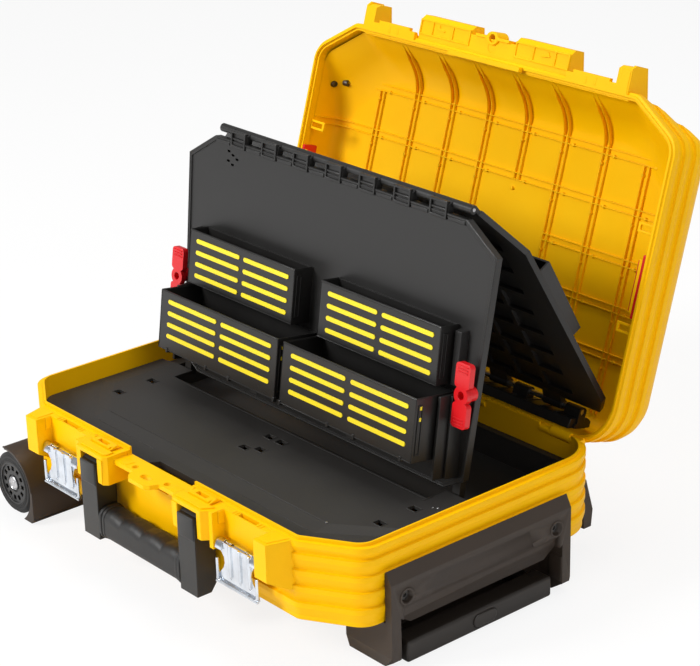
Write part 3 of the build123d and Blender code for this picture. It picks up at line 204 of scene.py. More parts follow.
def zinc(name, tone, rough, brushed):
    """Plated or drawn metal: stretched scratches, cloudy plating."""
    g = Graph(name)
    edge, rounded = g.edges(0.0005)
    lines = g.noise(320.0, 3.0, 0.6, g.stretched(brushed))
    cloud = g.noise(55.0, 3.0, 0.6)
    colour = g.blend(g.span(cloud, 0.35, 0.65, 0.0, 1.0), scaled(tone, 0.86), scaled(tone, 1.08))
    shine = g.span(lines, 0.3, 0.7, rough - 0.07, rough + 0.1)
    normal = g.bump(lines, 0.00002, 1.0, rounded)
    return g.surface(colour, shine, normal, Metallic=1.0)


MATERIALS["latch"] = zinc("latch_zinc", srgb(214, 220, 228), 0.16, (1.0, 1.0, 0.12))
MATERIALS["steel"] = zinc("pin_steel", srgb(190, 190, 192), 0.3, (0.1, 1.0, 1.0))
MATERIALS["tube"] = zinc("tube_aluminium", srgb(96, 96, 98), 0.34, (0.06, 1.0, 1.0))

MATERIALS["screw"] = zinc("screw_steel", srgb(92, 90, 88), 0.42, (1.0, 1.0, 1.0))

SLOT_OF = {s["node"]: s["material_slot"] for s in frame["record"]["subparts"]}
for node_name, node in NODES.items():
    node.data.materials.clear()
    node.data.materials.append(MATERIALS[SLOT_OF[node_name]])


# ---------------------------------------------------------------- local frames, millimetres
class Frame:
    """A part's own axes, so that details are placed in millimetres on the part."""

    def __init__(self, origin, up):
        self.origin = Vector(origin)
        self.z = Vector(up).normalized()
        self.x = Vector((1.0, 0.0, 0.0))
        self.y = self.z.cross(self.x)

    def at(self, x, y, z):
        return (self.origin + self.x * x + self.y * y + self.z * z) * MM


def lid_frame(axis_y, axis_z, degrees):
    """The base's frame swung about the hinge."""
    c = math.cos(math.radians(degrees))
    s = math.sin(math.radians(degrees))
    origin = (0, CASE_Y / MM + axis_y - axis_y * c + axis_z * s,
              RIM_Z / MM + axis_z - axis_y * s - axis_z * c)
    return Frame(origin, (0, -s, c))


BASE = Frame((0, CASE_Y / MM, RIM_Z / MM), (0, 0, 1))
LID = lid_frame(166.4, -2.4, -106.4)
TILT = math.radians(8.1)
FRONT = Frame((0, 22 + CASE_Y / MM, RIM_Z / MM - 17), (0, -math.cos(TILT), math.sin(TILT)))

# ---------------------------------------------------------------- mesh helpers
ORDER = {"x": (1, 2, 0), "y": (0, 2, 1), "z": (0, 1, 2)}


def rounded(corners, radii, steps=5):
    """A polygon with filleted corners, the same number of points for any size."""
    made = []
    count = len(corners)
    for n in range(count):
        here = Vector(corners[n])
        back = (Vector(corners[n - 1]) - here).normalized()
        ahead = (Vector(corners[(n + 1) % count]) - here).normalized()
        half = back.angle(ahead) / 2
        radius = max(radii[n], 0.01)
        centre = here + (back + ahead).normalized() * radius / math.sin(half)
        start = here + back * radius / math.tan(half) - centre
        end = here + ahead * radius / math.tan(half) - centre
        for k in range(steps + 1):
            made.append(tuple(centre + start.slerp(end, k / steps, start) * radius))
    return made


class Piece:
    """One moulded detail: solids added to a mesh in a part's frame."""

    def __init__(self, frame):
        self.frame = frame
        self.mesh = bmesh.new()

    def loop(self, axis, outline, depth):
        u, v, w = ORDER[axis]
        made = []
        for point in outline:
            spot = [0.0, 0.0, 0.0]
            spot[u], spot[v], spot[w] = point[0], point[1], depth
            made.append(self.mesh.verts.new(self.frame.at(*spot)))
        return made

    def bridge(self, first, second):
        for n in range(len(first)):
            m = (n + 1) % len(first)
            self.mesh.faces.new((first[n], first[m], second[m], second[n]))

    def loft(self, axis, sections, caps=(True, True)):
        """Walls through (depth, outline) sections, closed at the ends that have caps."""
        loops = [self.loop(axis, outline, depth) for depth, outline in sections]
        for n in range(len(loops) - 1):
            self.bridge(loops[n], loops[n + 1])
        if caps[0]:
            self.mesh.faces.new(loops[0])
        if caps[1]:
            self.mesh.faces.new(loops[-1])

    def prism(self, axis, low, high, outline):
        self.loft(axis, [(low, outline), (high, outline)])

    def block(self, low, high, inset=0.0):
        """A block; inset narrows its upper face."""
        def level(d):
            return [(low[0] + d, low[1] + d), (high[0] - d, low[1] + d),
                    (high[0] - d, high[1] - d), (low[0] + d, high[1] - d)]
        self.loft("z", [(low[2], level(0.0)), (high[2], level(inset))])

    def ring(self, axis, low, high, outer, inner):
        """A frame between two outlines with the same number of points."""
        a, b = self.loop(axis, outer, low), self.loop(axis, outer, high)
        c, d = self.loop(axis, inner, high), self.loop(axis, inner, low)
        for first, second in ((a, b), (b, c), (c, d), (d, a)):
            self.bridge(first, second)

    def lathe(self, axis, centre, profile, sides=28):
        """A turned part: (radius, depth) steps round an axis through centre."""
        sections = []
        for radius, depth in profile:
            sections.append((depth, [
                (centre[0] + radius * math.cos(2 * math.pi * n / sides),
                 centre[1] + radius * math.sin(2 * math.pi * n / sides)) for n in range(sides)
            ]))
        self.loft(axis, sections)

    def tube(self, points, radius, sides=8, closed=False):
        """A round bead along local points."""
        path = [Vector(self.frame.at(*p)) for p in points]
        count = len(path)
        loops = []
        normal = None
        for n in range(count):
            if closed:
                along = (path[(n + 1) % count] - path[n - 1]).normalized()
            else:
                along = (path[min(n + 1, count - 1)] - path[max(n - 1, 0)]).normalized()
            if normal is None:
                normal = along.orthogonal()
            normal = (normal - along * normal.dot(along)).normalized()
            other = along.cross(normal)
            loops.append([
                self.mesh.verts.new(path[n] + (normal * math.cos(2 * math.pi * k / sides)
                                               + other * math.sin(2 * math.pi * k / sides))
                                    * radius * MM)
                for k in range(sides)
            ])
        for n in range(count - 1):
            self.bridge(loops[n], loops[n + 1])
        if closed:
            self.bridge(loops[-1], loops[0])
        else:
            self.mesh.faces.new(loops[0])
            self.mesh.faces.new(loops[-1])

    def done(self, name, slot_name, body, bevel=0.3, replaces=()):
        bmesh.ops.recalc_face_normals(self.mesh, faces=self.mesh.faces)
        data = bpy.data.meshes.new(name)
        self.mesh.to_mesh(data)
        self.mesh.free()
        data.polygons.foreach_set("use_smooth", [True] * len(data.polygons))
        data.set_sharp_from_angle(angle=math.radians(32))
        made = bpy.data.objects.new(name, data)
        bpy.context.scene.collection.objects.link(made)
        data.materials.append(MATERIALS[slot_name])
        if bevel:
            edges = made.modifiers.new("edges", "BEVEL")
            edges.width = bevel * MM
            edges.segments = 2
            edges.limit_method = "ANGLE"
            edges.angle_limit = math.radians(40)
        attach(made, body)
        if replaces:
            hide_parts(*replaces)
        return made


# ---------------------------------------------------------------- lid: inner skin and ribs
SKIN_FROM = 12.5          # height where the skin leaves the wall
SKIN_TOP = 52.3
RIB_HEIGHT = 2.7          # clear of the rear pockets when the lid is shut
SLOPE_RISE = 4.0
RIB_T = 1.2
RIB_APART = 3.3
COLUMNS = (-192.5, -137.5, -82.5, -27.5, 27.5, 82.5, 137.5, 192.5)
ROWS = (-103.0, -53.0, -2.5, 44.0, 91.0)


def skin_round(z, start, radius):
    """How far a rounded inner edge has come in at a height."""
    t = min(max((z - start) / (SKIN_TOP - start), 0.0), 1.0)
    return radius * (1 - math.sqrt(1 - 0.96 * t * t))


def skin_front(z):
    return -159.3 + 36.0 * (z - 12.0) / 44.0 + skin_round(z, 34.0, 16.0)


def skin_half(z):
    return 252.6 - skin_round(z, 36.0, 14.0)


def skin_back(z):
    return 162.4 - skin_round(z, 38.0, 13.0)


def skin_level(z):
    """Inner outline of the lid at a height: the corners get rounder towards the top."""
    share = (z - SKIN_FROM) / (SKIN_TOP - SKIN_FROM)
    half, front, back = skin_half(z), skin_front(z), skin_back(z)
    cut_x, cut_y = 54.0 + 16.0 * share, 33.0 + 20.0 * share
    corners = [
        (half - cut_x, front), (half, front + cut_y), (half, back), (-half, back),
        (-half, front + cut_y), (cut_x - half, front),
    ]
    soft = 14.0 + 40.0 * share
    return rounded(corners, [soft, soft + 6, 38, 38, soft + 6, soft], 8)


def lid_skin():
    skin = Piece(LID)
    heights = [SKIN_FROM, 18, 24, 30, 35, 39, 42.5, 45.5, 48, 50, 51.4, SKIN_TOP]
    skin.loft("z", [(z, skin_level(z)) for z in heights], caps=(False, True))
    skin.done("lid_inner_skin", "shell", "lid", bevel=0)


def rib_profile(start, edge):
    """Side view of the end of a rib that climbs the wall, thin at the rim."""
    heights = [start + (SKIN_TOP - start) * n / 10 for n in range(11)]
    outer = [(edge(z), z) for z in heights]
    outer.append((edge(SKIN_TOP) + math.copysign(14, -edge(SKIN_TOP)), SKIN_TOP + 0.4))
    inner = []
    for n, z in enumerate(heights):
        rise = min(1.0, n / 4) * SLOPE_RISE
        inner.append((edge(z) + math.copysign(rise * 0.8, -edge(z)), z - rise * 0.9 * n / 10))
    inner.append((outer[-1][0], SKIN_TOP - RIB_HEIGHT))
    return outer + inner[::-1]


def lid_ribs():
    ribs = Piece(LID)
    low, high = SKIN_TOP - RIB_HEIGHT, SKIN_TOP + 0.4
    slope = rib_profile(16.0, skin_front)
    right = rib_profile(13.5, skin_half)
    left = [(-x, z) for x, z in right]
    ends = skin_half(SKIN_TOP) - 14
    for column in COLUMNS:
        stop = -50.0 if column == 27.5 else 150.0
        for shift in (-RIB_APART, RIB_APART):
            x = column + shift
            ribs.block((x - RIB_T / 2, skin_front(SKIN_TOP) + 14, low), (x + RIB_T / 2, stop, high))
            if abs(column) < 190:
                ribs.prism("x", x - RIB_T / 2, x + RIB_T / 2, slope)
    for row in ROWS:
        for shift in (-RIB_APART, RIB_APART):
            y = row + shift
            spans = [(-ends, ends)] if row != -2.5 else [(-ends, -79.0), (79.0, ends)]
            for start, end in spans:
                ribs.block((start, y - RIB_T / 2, low + 0.3), (end, y + RIB_T / 2, high))
            if row > -100:
                ribs.prism("y", y - RIB_T / 2, y + RIB_T / 2, right)
                ribs.prism("y", y - RIB_T / 2, y + RIB_T / 2, left)
    # ejector nubs beside the crossings
    for column in COLUMNS:
        for row in ROWS:
            if column == 27.5 and row > -10 or abs(column) < 30 and row == -2.5:
                continue
            ribs.lathe("z", (column + 11.5, row + RIB_APART), [(1.6, low), (1.9, high)], 12)
            ribs.lathe("z", (column - RIB_APART, row + 13), [(1.6, low), (1.9, high)], 12)
    ribs.done("lid_ribs", "shell", "lid", bevel=0.25)


def lid_details():
    """Loops and ledges on the walls, and the pocketed block in front."""
    bits = Piece(LID)
    for s in (-1, 1):
        for y in (-47.5, 49.5):
            outer = [(s * 231, y - 5), (s * 253.2, y - 5), (s * 253.2, y + 5), (s * 231, y + 5)]
            inner = [(s * 234, y - 2.6), (s * 251, y - 2.6), (s * 251, y + 2.6), (s * 234, y + 2.6)]
            bits.ring("z", 9.5, 12, outer, inner)
        low, high = sorted((s * 245.4, s * 253.2))
        bits.block((low, -19, 5.0), (high, 33, 5.8))
    # ledge inside the front rim
    bits.tube([(-190, -159.4, 6.2), (190, -159.4, 6.2)], 1.3)
    # block in front: a frame with cross walls, open towards the base
    for s in (-1, 1):
        outer = [(s * 32.6, -188.9), (s * 107, -188.9), (s * 107, -172.5), (s * 32.6, -172.5)]
        inner = [(s * 34.4, -187.1), (s * 105.2, -187.1), (s * 105.2, -174.3), (s * 34.4, -174.3)]
        bits.ring("z", 3.7, 6.2, outer, inner)
        for x in (58, 88):
            low, high = sorted((s * x - 0.8, s * x + 0.8))
            bits.block((low, -188, 3.7), (high, -173, 5.6))
        bits.prism("z", 3.9, 5.3, [
            (s * 78, -186), (s * 81, -181), (s * 70, -179.5), (s * 70, -181.2), (s * 77, -182.8),
        ])
        # end tabs: a leaning web and two small fins on the plate beside them
        for x in (135.5, 148):
            low, high = sorted((s * x - 1.5, s * x + 1.5))
            bits.block((low, -173.2, 0.4), (high, -166, 0.9))
        bits.prism("x", s * 189 - 1.4, s * 189 + 1.4, [
            (-165, 1.0), (-189, 1.0), (-193, 6), (-192, 23), (-160, 33),
        ])
    bits.ring("z", 2.5, 19, [
        (8.4 * math.cos(a), 6.8 * math.sin(a) - 186.0) for a in RING_ANGLES
    ], [(4.2 * math.cos(a), 4.2 * math.sin(a) - 185.8) for a in RING_ANGLES])
    bits.lathe("z", (0, -177), [(5.9, 5.3), (5.9, 8.0)], 24)
    bits.block((-24, -187.5, 2.5), (-8, -184.5, 18), 0.5)
    bits.block((8, -187.5, 2.5), (24, -184.5, 18), 0.5)
    bits.done("lid_front_details", "shell", "lid", bevel=0.35)
    screws = Piece(LID)
    for y, z, x in ((-94, 30.2, -249.6), (-98, 39.0, -238.4)):
        screws.lathe("x", (y, z), [(0.6, x + 0.2), (1.5, x + 0.3), (1.9, x + 1.5), (3.3, x + 1.2),
                                   (3.7, x), (3.7, x - 5)], 20)
    screws.done("lid_wall_screws", "screw", "lid", bevel=0)


RING_ANGLES = [2 * math.pi * n / 32 for n in range(32)]


# ---------------------------------------------------------------- base: bosses, floor, bracket
def base_details():
    bits = Piece(BASE)
    for s in (-1, 1):
        def across(points):
            return [(s * x, y) for x, y in points]
        # second step on the bosses' tops
        bits.prism("z", -0.6, 1.0, across([
            (56.5, -178.6), (56.5, -186), (59, -188.6), (97, -188.6), (103.7, -178.6),
        ]))
        bits.prism("z", -0.6, 0.2, across([
            (177, -166), (177, -186.5), (189.5, -186.8), (196, -166),
        ]))
        # triangular fins at the ends of the catch frame
        for x in (62.6, 95.4):
            bits.prism("x", s * x - 1.1, s * x + 1.1, [
                (-179.5, 0.9), (-165.2, 0.9), (-170, 3.6), (-172.5, 3.6),
            ])
        # ribs beside the latch bay's walls
        for x in (110.1, 173.4):
            bits.block((s * x - 0.7, -180, -13), (s * x + 0.7, -172.5, -0.8), 0.2)
        for x in (122, 126, 158, 162):
            bits.block((s * x - 0.7, -173.4, -0.7), (s * x + 0.7, -166.5, 0.25))
        # lower step of the boss's face
        bits.prism("y", -192.9, -191.8, [
            (s * 56.5, -4), (s * 64.5, -4), (s * 64.5, -29), (s * 57.5, -29),
        ])
    bits.block((-8, -166.1, -24.6), (11.5, -164.8, -23.4))
    bits.prism("z", -5.2, -4.5, [(-46, -179), (-36, -179), (-33, -170), (-46, -170)])
    bits.prism("z", -5.2, -4.5, [(46, -179), (36, -179), (33, -170), (46, -170)])
    bits.done("base_front_details", "shell", "base", bevel=0.35)

    floor_bits = Piece(BASE)
    for x, y in ((-205, -69), (205, -69), (-205, -27), (205, -27), (-7.5, -58), (7.5, -50),
                 (-9, -25), (9, -25)):
        outer = [(x - 6.3, y - 4.8), (x + 6.3, y - 4.8), (x + 6.3, y + 4.8), (x - 6.3, y + 4.8)]
        inner = [(x - 5.5, y - 4), (x + 5.5, y - 4), (x + 5.5, y + 4), (x - 5.5, y + 4)]
        floor_bits.ring("z", -16.6, -15.5, outer, inner)
    for y in (-10, 28):
        floor_bits.block((197.2, y, -16.2), (198.4, y + 12, -15.3))
    floor_bits.tube([(-172, -103.5, -16.1), (172, -103.5, -16.1)], 0.5)
    floor_bits.tube([(-166, -121.5, -18.5), (-70, -121.5, -18.5)], 0.5)
    floor_bits.tube([(70, -121.5, -18.5), (166, -121.5, -18.5)], 0.5)
    floor_bits.done("floor_edges", "insert", "base", bevel=0.2)

    pins = Piece(BASE)
    for x, y in ((215, -13), (219, -10.5), (170.5, -103)):
        pins.lathe("z", (x, y), [(1.2, -16.5), (1.2, -15.6), (0.7, -15.2)], 12)
    pins.done("floor_pins", "steel", "base", bevel=0)


def bracket_moulding():
    """The bracket with its window opened up to the photograph's edge, hollow above the bar."""
    hollow = Piece(BASE)
    hollow.prism("y", -98.5, 98.5, [
        (272, -63.5), (266.5, -64.0), (263.6, -71.0), (262.0, -80.0), (261.8, -92.0), (272, -92.0),
    ])
    bmesh.ops.recalc_face_normals(hollow.mesh, faces=hollow.mesh.faces)
    cutter_mesh = bpy.data.meshes.new("cutter")
    hollow.mesh.to_mesh(cutter_mesh)
    hollow.mesh.free()
    cutter = bpy.data.objects.new("cutter", cutter_mesh)
    bpy.context.scene.collection.objects.link(cutter)
    node = NODES["pull_bracket"]
    weld = node.modifiers.new("weld", "WELD")
    weld.merge_threshold = 0.01 * MM
    cut = node.modifiers.new("cut", "BOOLEAN")
    cut.operation = "DIFFERENCE"
    cut.solver = "EXACT"
    cut.object = cutter
    bpy.context.view_layer.update()
    whole = node.evaluated_get(bpy.context.evaluated_depsgraph_get())
    data = bpy.data.meshes.new_from_object(whole)
    node.modifiers.clear()
    bpy.data.objects.remove(cutter)
    bpy.data.meshes.remove(cutter_mesh)
    made = bpy.data.objects.new("bracket_moulding", data)
    made.matrix_world = node.matrix_world.copy()
    bpy.context.scene.collection.objects.link(made)
    data.materials.clear()
    data.materials.append(MATERIALS["bracket"])
    data.set_sharp_from_angle(angle=math.radians(30))
    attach(made, "base")
    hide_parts("pull_bracket")


def bracket_details():
    bits = Piece(BASE)
    face = 269.2
    for s in (-1, 1):
        # raised pad round each screw
        ring = [(s * 94.1 + 8.4 * math.cos(a), -55.6 + 8.4 * math.sin(a)) for a in RING_ANGLES]
        hole = [(s * 94.1 + 6.5 * math.cos(a), -55.6 + 6.5 * math.sin(a)) for a in RING_ANGLES]
        bits.ring("x", face - 1, face + 0.5, ring, hole)
        # ribs down the inner side of each leg
        bits.prism("x", 252, face - 0.6, [
            (s * 101, -88), (s * 103.2, -88), (s * 103.2, -118), (s * 101, -112),
        ])
    # the dark plate that closes the window below: a bottom plate that also stands in for the shade
    # under the window
    bits.block((210.6, -99, -126.0), (243, 99, -124.4))
    bits.done("bracket_details", "bracket", "base", bevel=0.4)

    lip = Piece(BASE)
    points = []
    for n in range(17):
        angle = math.radians(-8 + 92 * n / 16)
        points.append((-237 + 41.2 * math.sin(angle), -190.2, -93.5 + 41.2 * math.cos(angle)))
    lip.tube(points, 1.0)
    lip.tube([(x, 204.7, z) for x, _, z in points], 1.0)
    lip.done("fender_lips", "bracket", "base", bevel=0)


# ---------------------------------------------------------------- latches
LATCH_PROFILE = (
    # y, z and half width down the pressed plate
    (-184.0, -25.8, 19.0), (-184.4, -29.0, 22.0), (-184.4, -32.5, 26.0), (-184.3, -36.5, 23.0),
    (-184.1, -41.0, 20.0), (-184.0, -46.5, 19.5), (-184.0, -52.0, 21.5), (-184.0, -57.0, 26.0),
    (-184.0, -61.5, 29.0), (-184.0, -65.0, 29.5),
)


def latch(name, s, body):
    middle = s * 141.75
    plate = Piece(BASE)
    columns = 13
    for side_shift in (0.0, 1.1):
        rows = []
        for y, z, half in LATCH_PROFILE:
            row = []
            for n in range(columns):
                across = -1 + 2 * n / (columns - 1)
                bow = 0.3 * (1 - across * across)
                spot = BASE.at(middle + half * across, y - bow + side_shift, z)
                row.append(plate.mesh.verts.new(spot))
            rows.append(row)
        for m in range(len(rows) - 1):
            for n in range(columns - 1):
                plate.mesh.faces.new((rows[m][n], rows[m][n + 1], rows[m + 1][n + 1],
                                      rows[m + 1][n]))
        if side_shift == 0.0:
            outer = rows
    for rim in ((0, None), (-1, None), (None, 0), (None, -1)):
        if rim[1] is None:
            first, second = outer[rim[0]], rows[rim[0]]
        else:
            first = [row[rim[1]] for row in outer]
            second = [row[rim[1]] for row in rows]
        for n in range(len(first) - 1):
            plate.mesh.faces.new((first[n], first[n + 1], second[n + 1], second[n]))
    # pressed ribs
    for x in (-10, 4, 18):
        path = [(middle + x, y - 0.6, z) for y, z, _ in LATCH_PROFILE[:-2]]
        plate.tube(path + [(middle + x, -183.0, -59.0)], 1.7, 10)
    # rolled eyes round the pin, and the spring beside them
    for start, end in ((-30.5, -21), (-7, 9), (19, 30.5)):
        ring = [(-180.3 + 4.6 * math.cos(a), -29.7 + 4.6 * math.sin(a)) for a in RING_ANGLES]
        bore = [(-180.3 + 2.3 * math.cos(a), -29.7 + 2.3 * math.sin(a)) for a in RING_ANGLES]
        plate.ring("x", middle + start, middle + end, ring, bore)
    for start, end in ((-30.0, -21.0), (20.0, 30.0)):
        plate.prism("x", middle + start, middle + end, [
            (-184.2, -27.2), (-185.6, -29.5), (-186.6, -33.5), (-185.0, -33.0), (-183.8, -30.5),
        ])
    for start in (-20.0, 10.0):
        path = []
        for n in range(97):
            angle = 2 * math.pi * n / 16
            path.append((middle + start + 8.5 * n / 96, -180.3 + 3.4 * math.cos(angle),
                         -29.7 + 3.4 * math.sin(angle)))
        plate.tube(path, 0.55, 6)
    # lip that the fingers pull
    plate.prism("x", middle - 30.2, middle + 30.2, [
        (-183.3, -64.5), (-184.8, -64.5), (-187.1, -66.4), (-187.1, -67.9), (-185.6, -68.1),
        (-183.3, -66.0),
    ])
    plate.done(f"latch_pressing_{name}", "latch", body, bevel=0,
               replaces=[f"latch_plate_{name}"])


# ---------------------------------------------------------------- handle and wheels
def handle_details():
    caps = Piece(BASE)
    for s in (-1, 1):
        low, high = sorted((s * 67.0, s * 91.0))
        outline = rounded([(low, -34), (high, -34), (high, -10.5), (low, -10.5)], [1.5] * 4, 3)
        inner = rounded([(low + 1.5, -32.5), (high - 1.5, -32.5), (high - 1.5, -12),
                         (low + 1.5, -12)], [1.5] * 4, 3)
        caps.loft("y", [(-190.5, outline), (-194.9, outline), (-195.5, inner)])
    caps.done("handle_arm_caps", "handle", "carry_handle", bevel=0.4)
    collars = Piece(BASE)
    for s in (-1, 1):
        for x, grow in ((63.6, 1.0), (59.2, 0.5)):
            outer = rounded([(-194 - grow, -90 - grow), (-168 + grow, -90 - grow),
                             (-168 + grow, -57 + grow), (-194 - grow, -57 + grow)], [10.5] * 4, 6)
            inner = rounded([(-192, -88), (-170, -88), (-170, -60), (-192, -60)], [9] * 4, 6)
            collars.ring("x", s * x - 1.9, s * x + 1.9, outer, inner)
    collars.done("grip_collars", "soft_grip", "carry_handle", bevel=0.5)


def wheel_details(name, body, side):
    """Hub ring and moulded lines on the outer face; side is the face's direction."""
    face = {"front": -186.0, "rear": 200.5}[name]
    spot = (-237, -93.5)
    hub = Piece(BASE)
    hub.lathe("y", spot, [
        (7.4, face - side * 2.0), (7.4, face - side * 0.4), (6.6, face + side * 0.3),
        (5.9, face - side * 0.2), (5.4, face - side * 1.2), (3.0, face - side * 1.3),
        (2.2, face - side * 0.2), (1.6, face - side * 0.2),
    ], 36)
    hub.done(f"wheel_hub_{name}", "steel", body, bevel=0)
    lines = Piece(BASE)
    for radius in (24.4, 26.2, 29.8):
        lines.tube([(spot[0] + radius * math.cos(a), face, spot[1] + radius * math.sin(a))
                    for a in RING_ANGLES], 0.45, 6, closed=True)
    lines.done(f"tyre_lines_{name}", "tyre", body, bevel=0)


# ---------------------------------------------------------------- tool panels
POCKETS = (
    # x range, s range, depth of the front
    ((-196, -4), (35, 97), 50), ((4, 196), (35, 97), 50),
    ((-190, -20), (104, 160), 22), ((20, 190), (104, 160), 22),
)


def panel_details():
    edge = Piece(FRONT)
    outline = rounded([
        (-191, 2.2), (191, 2.2), (215, 15.5), (228, 231.6), (186.4, 257), (-186.4, 257),
        (-228, 231.6), (-215, 15.5),
    ], [3, 3, 6, 8, 4, 4, 8, 6], 4)
    edge.tube([(x, y, -0.6) for x, y in outline], 1.1, 8, closed=True)
    # frames of the top hinge
    step = 2 * 186.0 / 15
    for n in range(15):
        start = -186 + n * step + 0.8
        end = start + step - 1.6
        if n % 2:
            outer = [(start, 252), (end, 252), (end, 269), (start, 269)]
            inner = [(start + 2, 254.5), (end - 2, 254.5), (end - 2, 266.5), (start + 2, 266.5)]
            edge.ring("z", -2.5, 1.6, outer, inner)
            edge.tube([(start + 1, 260.5, -0.8), (end - 1, 260.5, -0.8)], 1.6)
        else:
            edge.block((start, 252, -1.4), (end, 256.5, 1.0), 0.6)
    # pillars beside the lower pockets, and small hooks under them
    for s in (-1, 1):
        for x0, x1, rise in ((198.5, 202.5, 26), (202.5, 206, 14)):
            low, high = sorted((s * x0, s * x1))
            edge.block((low, 16, -1.3), (high, 98, rise), 0.5)
        low, high = sorted((s * 193, s * 203))
        edge.block((low, 104, -1.3), (high, 158, 8), 1.0)
    for x in (-181, -115, -77, -5, 5, 77, 115, 181):
        edge.block((x - 2, 32.5, 47), (x + 2, 38.5, 51), 0.5)
    edge.done("panel_front_details", "panel", "front_panel", bevel=0.35)

    rims = Piece(FRONT)
    for (x0, x1), (s0, s1), deep in POCKETS:
        rims.tube([(x0 + 0.6, s1, 0), (x0 + 0.6, s1, deep - 0.6), (x1 - 0.6, s1, deep - 0.6),
                   (x1 - 0.6, s1, 0)], 1.0)
        rims.tube([(x0 + 0.5, s0 + 0.5, deep - 0.2), (x1 - 0.5, s0 + 0.5, deep - 0.2),
                   (x1 - 0.5, s1 - 0.5, deep - 0.2), (x0 + 0.5, s1 - 0.5, deep - 0.2)], 0.7,
                  closed=True)
        # window frames in the pockets' end walls
        for s, x in ((-1, x0), (1, x1)):
            inside, outside = sorted((x - s * 0.4, x + s * 0.9))
            outer = [(s0 + 7, deep - 9), (s1 - 6, deep - 9), (s1 - 6, deep - 3), (s0 + 7, deep - 3)]
            inner = [(s0 + 8.2, deep - 7.8), (s1 - 7.2, deep - 7.8), (s1 - 7.2, deep - 4.2),
                     (s0 + 8.2, deep - 4.2)]
            rims.ring("x", inside, outside, outer, inner)
    rims.done("pocket_rims", "pocket", "front_panel", bevel=0.2)

    pegs = Piece(FRONT)
    for (x0, x1), (s0, s1), deep in POCKETS[:2]:
        for y in (s1 - 9, s1 - 20):
            pegs.block((x1 - 0.2, y - 1.8, deep - 7.2), (x1 + 0.7, y + 1.8, deep - 4.8))
    pegs.done("pocket_pegs", "stripe", "front_panel", bevel=0.2)

    tabs = Piece(FRONT)
    for x in (-97, 56):
        tabs.block((x - 6, 5.5, -1.4), (x + 6, 12.5, -0.4), 0.3)
    tabs.done("panel_foot_tabs", "insert", "front_panel", bevel=0.2)

    bar = Piece(LID)
    for start, end in ((-199, -4), (4, 199)):
        bar.prism("x", start, end, [
            (152.8, 13), (162.4, 10), (162.4, 43), (156, 43), (152.8, 38),
        ])
        for n in range(9):
            x = start + 12 + n * 20
            bar.block((x - 1, 151.6, 14), (x + 1, 153.2, 38), 0.3)
    bar.done("bar_cover", "panel", "lid", bevel=0.6)


lid_skin()
lid_ribs()
lid_details()
base_details()
bracket_details()
for latch_name, latch_side in (("left", -1), ("right", 1)):
    latch(latch_name, latch_side, f"latch_{latch_name}")
bracket_moulding()
handle_details()
wheel_details("front", "front_wheel", -1)
wheel_details("rear", "rear_wheel", 1)
panel_details()


# ---------------------------------------------------------------- stage, light and camera
def floor():
    mesh = bpy.data.meshes.new("floor")
    half = 6.0
    mesh.from_pydata([(-half, -half, 0), (half, -half, 0), (half, half, 0), (-half, half, 0)], [],
                     [(0, 1, 2, 3)])
    made = bpy.data.objects.new("floor", mesh)
    bpy.context.scene.collection.objects.link(made)
    g = Graph("floor_paper")
    cloud = g.noise(1.5, 2.0)
    paper = g.node("ShaderNodeBsdfDiffuse", [
        ("Color", g.blend(cloud, (0.9, 0.9, 0.9, 1.0), (0.93, 0.93, 0.93, 1.0))),
    ])
    seen = g.node("ShaderNodeLightPath")
    glow = g.node("ShaderNodeEmission", [("Color", (1.0, 1.0, 1.0, 1.0)), ("Strength", 1.0)])
    share = g.maths("MULTIPLY", seen.outputs["Is Camera Ray"], 0.84)
    mix = g.node("ShaderNodeMixShader", [
        ("Fac", share), (1, paper.outputs["BSDF"]), (2, glow.outputs["Emission"]),
    ])
    g.tree.links.new(mix.outputs["Shader"], g.out.inputs["Surface"])
    mesh.materials.append(g.material)


def lamp(name, place, target, size, power, colour=(1.0, 1.0, 1.0)):
    data = bpy.data.lights.new(name, "AREA")
    data.shape = "DISK"
    data.size = size
    data.energy = power
    data.color = colour
    made = bpy.data.objects.new(name, data)
    made.location = place
    made.rotation_mode = "QUATERNION"
    made.rotation_quaternion = (Vector(target) - Vector(place)).to_track_quat("-Z", "Y")
    bpy.context.scene.collection.objects.link(made)


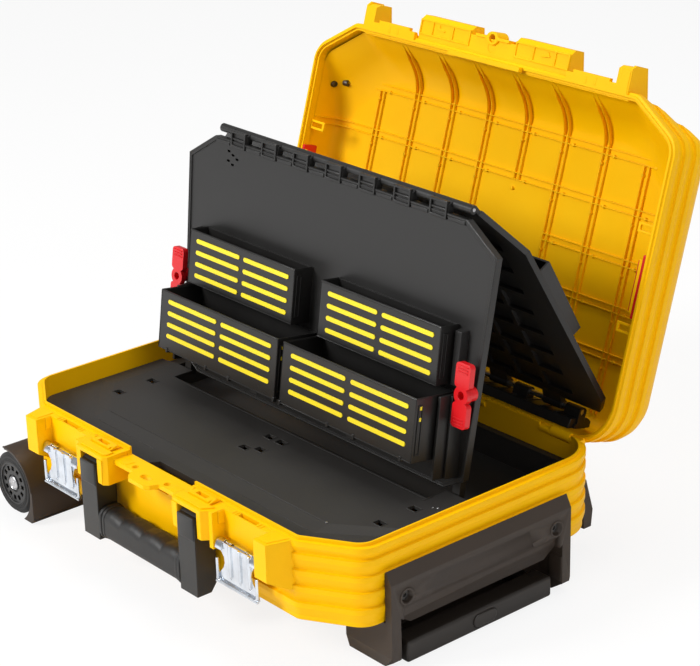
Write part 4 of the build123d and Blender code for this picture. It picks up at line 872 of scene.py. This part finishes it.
def world():
    """Soft fill; white where the camera or glass sees it."""
    made = bpy.data.worlds.new("studio")
    bpy.context.scene.world = made
    made.use_nodes = True
    tree = made.node_tree
    tree.nodes.clear()
    out = tree.nodes.new("ShaderNodeOutputWorld")
    path = tree.nodes.new("ShaderNodeLightPath")
    fill = tree.nodes.new("ShaderNodeBackground")
    fill.inputs["Strength"].default_value = 0.45
    white = tree.nodes.new("ShaderNodeBackground")
    white.inputs["Color"].default_value = (1.0, 1.0, 1.0, 1.0)
    seen = tree.nodes.new("ShaderNodeMath")
    seen.operation = "MAXIMUM"
    mix = tree.nodes.new("ShaderNodeMixShader")
    tree.links.new(path.outputs["Is Camera Ray"], seen.inputs[0])
    tree.links.new(path.outputs["Is Transmission Ray"], seen.inputs[1])
    tree.links.new(seen.outputs[0], mix.inputs["Fac"])
    tree.links.new(fill.outputs[0], mix.inputs[1])
    tree.links.new(white.outputs[0], mix.inputs[2])
    tree.links.new(mix.outputs[0], out.inputs["Surface"])


# the photograph's view, solved from the case's straight edges
AZIMUTH = math.radians(49.915)
ELEVATION = math.radians(22.005)
ROLL = math.radians(-1.467)
EYE = Vector((1.5117, -1.19825 + CASE_Y, 0.86815 + RIM_Z))
LENS = 109.92


def camera():
    back = Vector((
        math.sin(AZIMUTH) * math.cos(ELEVATION), -math.cos(AZIMUTH) * math.cos(ELEVATION),
        math.sin(ELEVATION),
    ))
    right = (-back).cross(Vector((0, 0, 1))).normalized()
    up = right.cross(-back)
    turned_right = right * math.cos(ROLL) + up * math.sin(ROLL)
    turned_up = up * math.cos(ROLL) - right * math.sin(ROLL)
    data = bpy.data.cameras.new("photo_camera")
    data.sensor_width = 36.0
    data.lens = LENS
    data.clip_start = 0.05
    data.clip_end = 50.0
    made = bpy.data.objects.new("photo_camera", data)
    bpy.context.scene.collection.objects.link(made)
    rows = Matrix((turned_right, turned_up, back)).transposed().to_4x4()
    made.matrix_world = Matrix.Translation(EYE) @ rows
    bpy.context.scene.camera = made


floor()
world()
lamp("key", (-1.1, -2.6, 1.9), (0, 0, 0.2), 1.1, 86)
lamp("fill", (2.6, -0.4, 1.6), (0, 0, 0.2), 1.8, 18)
lamp("top", (0.2, 0.6, 3.0), (0, 0.1, 0.2), 1.5, 36)
camera()
bpy.context.scene.view_settings.view_transform = "Standard"
